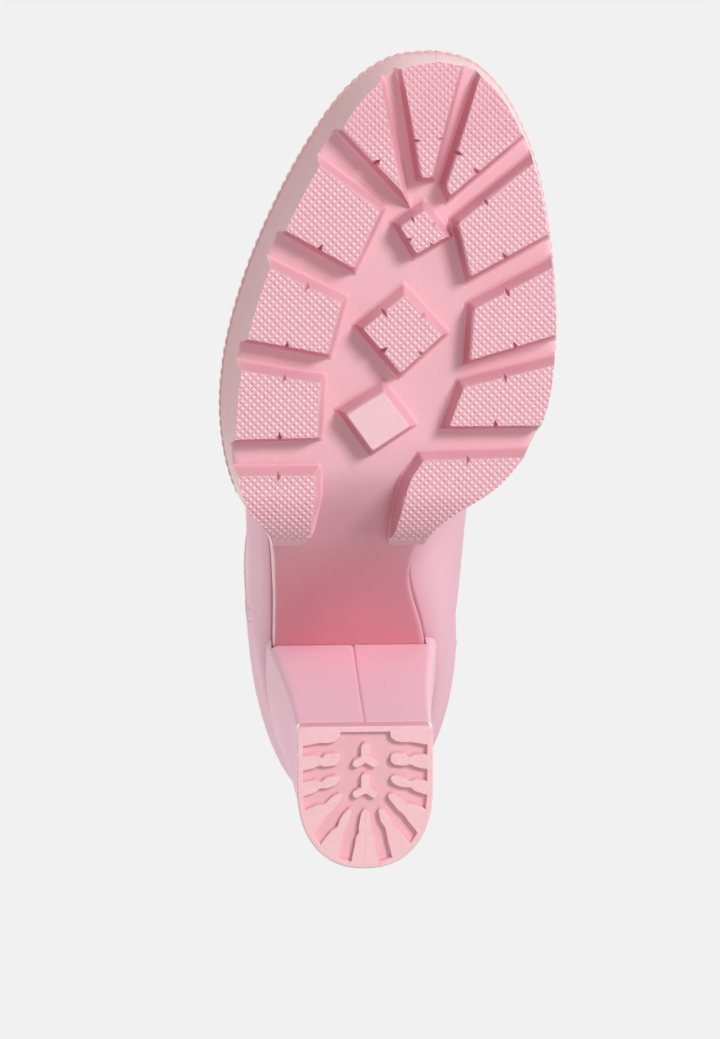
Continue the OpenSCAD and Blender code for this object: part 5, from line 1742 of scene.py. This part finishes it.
    def build_panels(self) -> None:
        """Makes the three leather panels and the three panels of the lining."""
        toe = np.concatenate([np.linspace(0, 1, 24)[:-1], np.linspace(1, self.seam_k, 56)[:-1]])
        rear = np.unique(np.concatenate([
            np.linspace(self.seam_k, LAST.top_k, 120),
            [self.slot_k, self.slot_k + self.slot_ramp, self.slot_k + self.slot_ramp / 2]]))
        panels = (
            ("vamp", "vamp_lining", self.vamp_rows(np.concatenate([toe, rear]))),
            ("lateral_quarter", "lateral_lining", self.outer_rows(rear)),
            ("medial_quarter", "medial_lining", self.inner_rows(rear)))
        for node, _, rows in panels:
            panel = self.sheet(rows, 0.0, self.outer_t, self.edge_drop).piece(node + "_leather")
            # Painted shade along the edge pulled over the waist and the heel seat.
            self.mark_lasted_edge(panel)
            dress(panel, UPPER_LEATHER, "upper_leather", node)
        for _, node, rows in panels:
            lining = self.sheet(rows, self.lining_d, self.lining_t, 0.0).piece(node + "_cloth")
            dress(lining, LINING_CLOTH, "lining", node)

    def mark_lasted_edge(self, panel: Piece) -> None:
        """Marks painted shade: how near each face of a panel is to the edge pulled over the waist and the heel seat.

        The leather takes a deep tone in a soft band and a narrow line along that edge, standing for the shade in the
        crease where the upper meets the sole and the heel.

        Args:
            panel: the panel.
        """
        _, y, z = face_values(panel, "center").T / MM
        above = z - LAST.bed(y)
        # A soft band and a narrow line of painted shade along that edge.
        near = 0.5 * np.clip(1 - above / self.lasted_h, 0, 1) ** 2 + 0.5 * np.clip(self.lasted_edge - above, 0, 1)
        mark_faces(panel, "lasted", near * ramp(y, *self.lasted_y))

    def topline(self) -> list[tuple[Side, Array]]:
        """Places round the topline from the zip's front edge by the shin and back seam to its rear edge.

        Returns:
            Side of the foot and places on the top ring, for each stretch.
        """
        top = np.array(LAST.top_k)
        front, rear = self.inner_seam_v(top, -1), self.inner_seam_v(top, 1)
        return [(Side.INNER, np.linspace(front, 1, 60)), (Side.OUTER, np.linspace(1, 0, 121)[1:]),
                (Side.INNER, np.linspace(0, rear, 60)[1:])]

    def around_top(self) -> tuple[Array, Array, Array]:
        """Skin along the topline.

        Returns:
            Points, normals and upward directions.
        """
        stretches, k = self.topline(), LAST.top_k
        p, below = (np.concatenate([LAST.skin(s, ring, v) for s, v in stretches]) for ring in (k, k - 0.1))
        n = np.concatenate([LAST.normal(s, k, v) for s, v in stretches])
        return p, n, unit(p - below)

    def build_binding(self) -> None:
        """Makes the binding: a hairpin section with a round fold, carried round the topline."""
        p, n, up = self.around_top()
        near, far, t = self.glue_gap, self.depth + self.glue_gap, self.binding_t
        middle, half = (far - near) / 2, (far + near) / 2
        a = np.linspace(0, np.pi, 15)
        proud, low = self.binding_proud * t, -self.binding_h
        fold = at(middle - (half + proud) * np.cos(a), near + self.binding_crown * (half + t) * np.sin(a))
        inside = at(middle + half * np.cos(a), near + 0.1 * np.sin(a))
        hem = [[near, low], [-0.5 * proud, low + 0.1], [-proud, low + 0.6]]
        section = np.concatenate([hem, fold, [[far + t, low], [far, low]], inside])
        rings = p[:, None] - section[None, :, :1] * n[:, None] + section[None, :, 1:] * up[:, None]
        binding = loft(rings).piece("topline_fold")
        dress(binding, UPPER_LEATHER, "binding", "topline_binding", crisp=45.0)

    def build_stitches(self) -> None:
        """Sews the side seams, the slot's edges and the binding."""
        end_k, stop = LAST.top_k - self.stitch_top, self.stitch_stop
        k = np.linspace(self.seam_k + self.outer_stitch, end_k, 400)
        low_k = np.linspace(self.seam_k + self.inner_stitch, self.slot_k - stop, 240)
        high_k = np.linspace(self.slot_k + self.slot_ramp + stop, end_k, 240)
        rows = []
        for off in (-self.stitch_off, self.stitch_off):
            rows.append(self.seam_line(Side.OUTER, k, self.seam_v(k), off))
            rows.append(self.seam_line(Side.INNER, low_k, self.seam_v(low_k), off))
        for side in (-1.0, 1.0):
            rows.append(self.seam_line(Side.INNER, high_k, self.inner_seam_v(high_k, side), -self.stitch_off * side))
        p, n, up = self.around_top()
        rows.append((p + 0.5 * self.binding_proud * self.binding_t * n - self.binding_stitch * up, n))
        threads = together([stitch_row(*row) for row in rows]).piece("upper_stitches")
        dress(threads, THREAD, "upper_leather")

    def seam_line(self, side: Side, k: Array, v: Array, off: float) -> tuple[Array, Array]:
        """Line beside a seam, off by a distance in the direction of rising v, with its normals.

        Args:
            side: side of the foot.
            k: ring numbers.
            v: places of the seam.
            off: distance from it.

        Returns:
            Points and normals.
        """
        step = LAST.skin_step
        rate = np.linalg.norm(LAST.skin(side, k, v + step) - LAST.skin(side, k, v), axis=-1) / step
        place = v + off / rate
        return LAST.skin(side, k, place), LAST.normal(side, k, place)

    def build(self) -> None:
        """Makes the panels, the binding and the stitching."""
        self.build_panels()
        self.build_binding()
        self.build_stitches()


def stitch_row(line: Array, out: Array, pitch: float = 2.8, length: float = 2.2, width: float = 0.5) -> Form:
    """Row of stitches along a line: short tubes that rise out of the surface and dip back into it.

    Each stitch is sampled at five places of the line. Its height follows a half wave and its radius a flat ellipse.

    Args:
        line: points of the line on the surface.
        out: normals of the surface there.
        pitch: distance from stitch to stitch.
        length: length of a stitch.
        width: thickness of the thread.

    Returns:
        All stitches of the row as one form.
    """
    run = run_length(line)
    count = int((run[-1] - length) / pitch)
    swell, rise, sink, flat = np.array([0.5, 0.95, 1.0, 0.95, 0.5]), 0.45, 0.22, 0.8
    t = np.linspace(0, 1, len(swell))
    s = (np.arange(count) * pitch)[:, None] + t[None] * length
    p = np.stack([np.interp(s, run, line[:, i]) for i in range(3)], -1)
    n = unit(np.stack([np.interp(s, run, out[:, i]) for i in range(3)], -1))
    along = unit(np.gradient(p, axis=1))
    across = unit(np.cross(along, n))
    thick = width / 2 * swell
    height = width * (rise * np.sin(np.pi * t) - sink)
    a = circle(6)
    ring = (p + height[None, :, None] * n)[:, :, None] + thick[None, :, None, None] * (
        np.cos(a)[None, None, :, None] * across[:, :, None] + flat * np.sin(a)[None, None, :, None] * n[:, :, None])
    return together([loft(r) for r in ring])


@dataclass
class Inside:
    """Padded sock on the insole."""

    board_t: float = 2.2
    sock_t: float = 3.0
    glue_gap: float = 0.2
    inset: float = 4.1
    start_k: float = 0.25
    thin_share: float = 0.35
    swell_w: float = 4.0

    def build(self) -> None:
        """Makes the sock: a pad on the insole board whose upper face swells from a thin edge to its full height."""
        k = np.linspace(self.start_k, LAST.heel_k, 170)
        f = crowded(31)
        left, right = (LAST.edge(s, k, -self.inset) for s in Side)
        plan = mix(left[:, None], right[:, None], f[None, :, None])
        base = LAST.bed(plan[..., 1]) + LAST.seat_gap + self.board_t + self.glue_gap
        width = np.linalg.norm(right - left, axis=-1)[:, None]
        fall = quarter(np.minimum(f, 1 - f)[None] * width / self.swell_w, 1.0)
        upper = lift(plan, base + self.sock_t * (1 - (1 - self.thin_share) * fall))
        sock = shell(upper, lift(plan, base)).piece("padded_sock")
        dress(sock, SOCK_CLOTH, "sock", "sock_liner")


@dataclass
class Zip:
    """Zip on the inner side: tapes, teeth, stops, guard, slider and puller."""

    upper: Upper
    tape_t: float = 0.6
    tape_w: float = 12.0
    tooth_pitch: float = 2.0
    tooth_w: float = 2.4
    tooth_t: float = 2.5
    tooth_gap: float = 1.2
    tooth_share: float = 0.55
    tooth_starts: tuple = ((-1.0, 0.77), (1.0, 0.32))
    cord_r: tuple = (0.95, 0.55)
    cord_end: float = 0.05
    tape_gap: float = 0.2
    guard_off: tuple = (14.0, -11.0)
    guard_rise: float = 4.0
    guard_rise_w: float = 6.0
    guard_t: float = 1.0
    guard_gap: float = 0.6
    soft: float = 0.35
    sections: tuple = (15.9, 21.6)
    plate_gap: float = 0.3
    plate_t: float = 1.3
    plate_shares: tuple = (
        (-0.36, 0), (0.36, 0), (0.5, 0.45), (0.5, 0.8), (0.3, 1), (-0.3, 1), (-0.5, 0.8), (-0.5, 0.45))
    plate_corner: float = 1.4
    web: float = 0.3
    web_end: float = 1.0
    web_sink: float = 0.2
    ear_w: float = 1.2
    ear_l: float = 3.4
    pin_in: float = 1.3
    pin_share: float = 0.6
    pin_d: float = 1.6
    bore_r: float = 0.88
    puller_w: float = 7.0
    puller_t: float = 1.4
    neck_share: float = 0.25
    shoulder: tuple = (9.0, 7.0)
    eye_slack: float = 0.08
    hole_share: float = 0.2
    hole_up: float = 1.0

    def __post_init__(self) -> None:
        """Reads the zip's place from the frame."""
        self.teeth_low, self.teeth_high = box_mm("zip_teeth")
        self.chain_half = self.tooth_gap / 2 + self.tooth_w

    def build_tapes(self) -> None:
        """Makes the two woven tapes behind the slot's edges."""
        depth = self.upper.outer_t + self.upper.glue_gap
        k = np.linspace(*self.sections, 70)[:, None]
        start = self.chain_half + self.tape_gap
        tapes = []
        for side in (-1.0, 1.0):
            off = mix(start, start + self.tape_w, np.linspace(0, 1, 14))[None]
            v = self.upper.zip_v(k, side * off)
            tapes.append(self.upper.sheet([(Side.INNER, k, v)], depth, self.tape_t, 0.0))
        both = together(tapes)
        both.uv = np.concatenate([t.uv for t in tapes])
        dress(both.piece("zip_woven_tapes"), TAPE_CLOTH, "zip_tape", "zip_tapes")

    def build_teeth(self) -> None:
        """Makes the two rows of teeth, soft blocks at an even pitch on a round cord."""
        low, high = self.teeth_low, self.teeth_high
        count = int(round((high[2] - low[2]) / self.tooth_pitch))
        middle = (low[0] + high[0]) / 2
        a = circle(12)
        ends = np.linspace(low[2] + self.cord_end, high[2] - self.cord_end, 40)
        forms = []
        for side, first in self.tooth_starts:
            z = low[2] + (np.arange(count) + first) * self.tooth_pitch
            y = self.upper.zip_y + side * (self.tooth_gap / 2 + self.tooth_w / 2)
            places = at(middle, y, z)
            sizes = np.tile([self.tooth_t, self.tooth_w, self.tooth_pitch * self.tooth_share], (count, 1))
            forms.append(repeated(pebble(0.4), places, sizes))
            cord_y = self.upper.zip_y + side * (self.chain_half - self.cord_r[1])
            ring = at(middle + self.cord_r[0] * np.cos(a), cord_y + self.cord_r[1] * np.sin(a))
            forms.append(loft(np.stack([lift(ring, end) for end in ends])))
        dress(together(forms).piece("zip_tooth_rows"), ZIP_PLASTIC, "zip_plastic", "zip_teeth", crisp=50.0)

    def build_stops(self) -> None:
        """Makes the stops, soft blocks in the boxes of the construction: one at each tape's top, one at the bottom."""
        for node, sides in (("zip_top_stops", (-1, 1)), ("zip_bottom_stop", (0,))):
            low, high = box_mm(node)
            size = high - low
            if len(sides) > 1:
                shift = np.array([0, (size[1] - self.tooth_w) / 2, 0])
                size[1] = self.tooth_w
            else:
                shift = np.zeros(3)
            places = np.array([(low + high) / 2 + side * shift for side in sides])
            stop = repeated(pebble(0.3, 20, 11), places, np.tile(size, (len(sides), 1))).piece(node + "_crimp")
            dress(stop, ZIP_METAL, "zip_metal", node, crisp=50.0)

    def build_guard(self) -> None:
        """Makes the guard strip behind the teeth, sewn to the lining along its rear edge."""
        k = np.linspace(*self.sections, 60)[:, None]
        slider_low, _ = box_mm("zip_slider")
        zip_x = self.teeth_high[0] + self.upper.outer_t + self.upper.glue_gap + self.tape_t / 2 - self.tooth_t / 2
        deep = zip_x - slider_low[0] + self.guard_gap
        off = np.linspace(*self.guard_off, 36)[None]
        rise = np.clip((off - self.guard_rise) / self.guard_rise_w, 0, 1)
        depth = (mix(deep, self.upper.depth + self.upper.glue_gap, rise) + 0 * k)[..., None]
        v = self.upper.zip_v(k, off)
        skin, out = LAST.skin(Side.INNER, k, v), LAST.normal(Side.INNER, k, v)
        uv = at(off, skin[..., 2])
        guard = shell(skin - depth * out, skin - (depth + self.guard_t) * out, uv).piece("zip_guard_cloth")
        dress(guard, LINING_CLOTH, "lining", "zip_guard")

    def plate(self, outline: Array, x0: float, x1: float) -> Form:
        """Flat plate with soft edges: an outline in Y and Z drawn in at both faces.

        Args:
            outline: points in order.
            x0: rear face.
            x1: front face.

        Returns:
            The closed form.
        """
        s = min(self.soft, (x1 - x0) / 2.5)
        levels = ((x0, s), (x0 + 0.3 * s, 0.3 * s), (x0 + s, 0), (x1 - s, 0), (x1 - 0.3 * s, 0.3 * s), (x1, s))
        return loft(np.stack([np.insert(outset(outline, -d), 0, x, axis=1) for x, d in levels]))

    def build_slider(self) -> None:
        """Makes the slider inside the construction's box: two soft plates, a web, ears and the pin."""
        low, high = box_mm("zip_slider")
        length, width = high[2] - low[2], high[1] - low[1]
        y, z = self.upper.zip_y, low[2]
        outline = rounded(np.array(self.plate_shares) * (width, length), self.plate_corner, 5) + (y, z)
        rear_x, front_x = self.teeth_low[0] - self.plate_gap, self.teeth_high[0] + self.plate_gap
        slider = self.plate(outline, rear_x - self.plate_t, rear_x).piece("zip_slider_body")
        wide, end = self.web, self.web_end
        web = np.array([(-wide, end), (wide, end), (wide, length - end), (-wide, length - end)]) + (y, z)
        pin_x, pin_z = high[0] - self.pin_in, z + self.pin_share * length
        half = self.puller_w * self.neck_share + self.plate_gap + self.ear_w / 2
        ears = np.array([[(high[0] + front_x) / 2, y + side * half, pin_z] for side in (-1, 1)])
        ear = np.array([[high[0] - front_x, self.ear_w, self.ear_l]])
        parts = [
            self.plate(outline, front_x, front_x + self.plate_t),
            bar(web, rear_x - self.web_sink, front_x + self.web_sink),
            *(repeated(pebble(0.3, 20, 11), place[None], ear) for place in ears),
            rod(pin_x, pin_z, self.pin_d / 2, (y - half, y + half), circle(24))]
        carve(slider, [(Cut.JOIN, p.piece("part")) for p in parts])
        dress(slider, ZIP_METAL, "zip_metal", "zip_slider", crisp=40.0, body="slider")

    def build_puller(self) -> None:
        """Makes the puller: an eye on the pin, a neck and a flat tab with a hole, with soft edges.

        The points round the eye are turned from those round the bore, so that no two edges fall together.
        """
        low, high = box_mm("zip_puller")
        y, width = self.upper.zip_y, high[1] - low[1]
        half, neck, eye_r = width / 2, width * self.neck_share, (high[0] - low[0]) / 2
        x, pin_z, round_z = (low[0] + high[0]) / 2, high[2] - eye_r, low[2] + width / 2
        wide_z, neck_z = (pin_z - drop for drop in self.shoulder)
        a = np.linspace(np.pi, 2 * np.pi, 30)
        tab = at(half * np.cos(a), round_z + half * np.sin(a))
        outline = np.concatenate([
            tab, [[half, wide_z], [neck, neck_z], [neck, pin_z], [-neck, pin_z], [-neck, neck_z], [-half, wide_z]]])
        puller = self.plate(outline + (y, 0), x - self.puller_t / 2, x + self.puller_t / 2).piece("zip_pull_tab")
        c = circle(32)
        eye_y = neck - self.eye_slack
        eye = rod(x, pin_z, eye_r, (y - eye_y, y + eye_y), c + eye_r)
        bore = rod(x, pin_z, self.bore_r, (y - width, y + width), c + self.bore_r)
        hole_r = self.hole_share * width
        hole = at(y + hole_r * np.cos(c), round_z + self.hole_up + hole_r * np.sin(c))
        carve(puller, [
            (Cut.JOIN, eye.piece("eye")), (Cut.TAKE, bore.piece("bore")),
            (Cut.TAKE, bar(hole, x - 3, x + 3).piece("hole"))])
        weld_points(puller.data)
        dress(puller, ZIP_METAL, "zip_metal", "zip_puller", crisp=40.0, body="puller")

    def build(self) -> None:
        """Makes every piece of the zip."""
        self.build_tapes()
        self.build_teeth()
        self.build_stops()
        self.build_guard()
        self.build_slider()
        self.build_puller()


class Core:
    """Inner pieces that keep their construction shapes."""

    finishes = {
        "platform_filler": FOAM, "steel_shank": STEEL, "insole_board": BOARD, "heel_block": FOAM,
        "top_piece_pins": STEEL, "heel_screw": STEEL, "heel_nails": STEEL, "toe_puff": STIFFENER,
        "heel_counter": STIFFENER}

    def build(self) -> None:
        """Gives each inner piece its finish."""
        for name, finish in self.finishes.items():
            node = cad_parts[name]
            node.data.materials.clear()
            node.data.materials.append(finish.material())
            log.info("%s: kept from the frame", name)


@dataclass
class Studio:
    """Floor, soft lights, background and a camera that looks at the sole from below."""

    pale: tuple = srgb(241, 241, 241)
    eye: tuple = (-81.2, -233.5, -1376.8)
    ahead: tuple = (0.0515, 0.1737, 0.9835)
    lens: float = 170.2
    world_light: float = 0.31
    floor_r: float = 3.0
    fade_from: float = 0.35
    fade_to: float = 1.1
    lamps: tuple = (
        ("key", (0.93, -0.92, -1.3), 0.05, 0.5, 24.5),
        ("under", (0.1, 0.8, -1.6), 0.05, 0.8, 4.4),
        ("outer", (-1.8, -0.6, -0.1), 0.05, 1.0, 10.0),
        ("front", (0.3, -2.0, 1.1), 0.1, 1.4, 3.5),
        ("inner", (1.8, 0.5, -0.3), 0.05, 1.0, 6.5),
        ("top", (0.1, -0.1, 2.0), 0.1, 1.4, 13.0),
        ("back", (-0.9, 1.1, 1.3), 0.1, 1.2, 8.0))

    def build_camera(self) -> None:
        """Camera at the photograph's angle: image up is the toe's direction."""
        data = bpy.data.cameras.new("camera")
        data.lens = self.lens
        data.sensor_width = 36.0
        data.clip_start, data.clip_end = 0.05, 20.0
        camera = stand("camera", data)
        forward = Vector(self.ahead).normalized()
        right = forward.cross(Vector((0, -1, 0))).normalized()
        up = right.cross(forward)
        turn = Matrix((right, up, -forward)).transposed().to_4x4()
        camera.matrix_world = Matrix.Translation(Vector(self.eye) * MM) @ turn
        bpy.context.scene.camera = camera

    def build_lights(self) -> None:
        """Square soft lights: a key below the sole at the toe and inner side, low ones at both sides, others above.

        Each has its place, the height that it is aimed at, its size and its power, in metres and watts.
        """
        for name, place, aim_h, size, power in self.lamps:
            data = bpy.data.lights.new(name, "AREA")
            data.size, data.energy = size, power
            light = stand(name, data)
            light.location = place
            light.rotation_mode = "QUATERNION"
            light.rotation_quaternion = (Vector((0, 0, aim_h)) - Vector(place)).to_track_quat("-Z", "Y")

    def build_world(self) -> None:
        """Even light all round; what the camera and mirrors see of it is the pale background."""
        world = bpy.data.worlds.new("world")
        bpy.context.scene.world = world
        world.use_nodes = True
        world.node_tree.nodes.clear()
        g = Graph(world.node_tree)
        even = g.add("ShaderNodeBackground", (1, 1, 1, 1), self.world_light).outputs[0]
        seen = g.add("ShaderNodeBackground", self.pale).outputs[0]
        path = g.add("ShaderNodeLightPath").outputs
        shown = g.maths("MAXIMUM", path["Is Camera Ray"], path["Is Glossy Ray"])
        shown = g.maths("MAXIMUM", shown, path["Is Transmission Ray"])
        g.add("ShaderNodeOutputWorld", g.add("ShaderNodeMixShader", shown, even, seen).outputs[0])

    def floor_material(self) -> bpy.types.Material:
        """Pale floor that only the camera sees, only from above, fading out with distance.

        Returns:
            The material.
        """
        material = bpy.data.materials.new("floor")
        material.use_nodes = True
        material.node_tree.nodes.clear()
        g = Graph(material.node_tree)
        pale = g.add("ShaderNodeBsdfDiffuse", self.pale).outputs[0]
        clear = g.add("ShaderNodeBsdfTransparent").outputs[0]
        place = g.add("ShaderNodeTexCoord").outputs["Object"]
        far = g.add("ShaderNodeVectorMath", place, operation="LENGTH").outputs["Value"]
        front = g.maths("SUBTRACT", 1.0, g.add("ShaderNodeNewGeometry").outputs["Backfacing"])
        seen = g.maths("MULTIPLY", front, g.add("ShaderNodeLightPath").outputs["Is Camera Ray"])
        shown = g.maths("MULTIPLY", seen, g.eased(far, self.fade_from, self.fade_to))
        g.add("ShaderNodeOutputMaterial", g.add("ShaderNodeMixShader", shown, clear, pale).outputs[0])
        return material

    def build_floor(self) -> None:
        """Floor under the boot."""
        r = self.floor_r
        mesh = bpy.data.meshes.new("floor")
        mesh.from_pydata([(-r, -r, 0), (r, -r, 0), (r, r, 0), (-r, r, 0)], [], [(0, 1, 2, 3)])
        mesh.materials.append(self.floor_material())
        stand("floor", mesh)

    def build(self) -> None:
        """Sets the stage."""
        self.build_camera()
        self.build_lights()
        self.build_world()
        self.build_floor()
        bpy.context.scene.view_settings.view_transform = "Standard"


def main() -> None:
    """Builds the boot and its stage."""
    logging.basicConfig(level=logging.INFO, format="%(message)s")
    upper = Upper()
    for part in (Studio(), Core(), Outsole(), Welt(), Heel(), upper, Inside(), Zip(upper)):
        part.build()


if __name__ == "__main__":
    main()
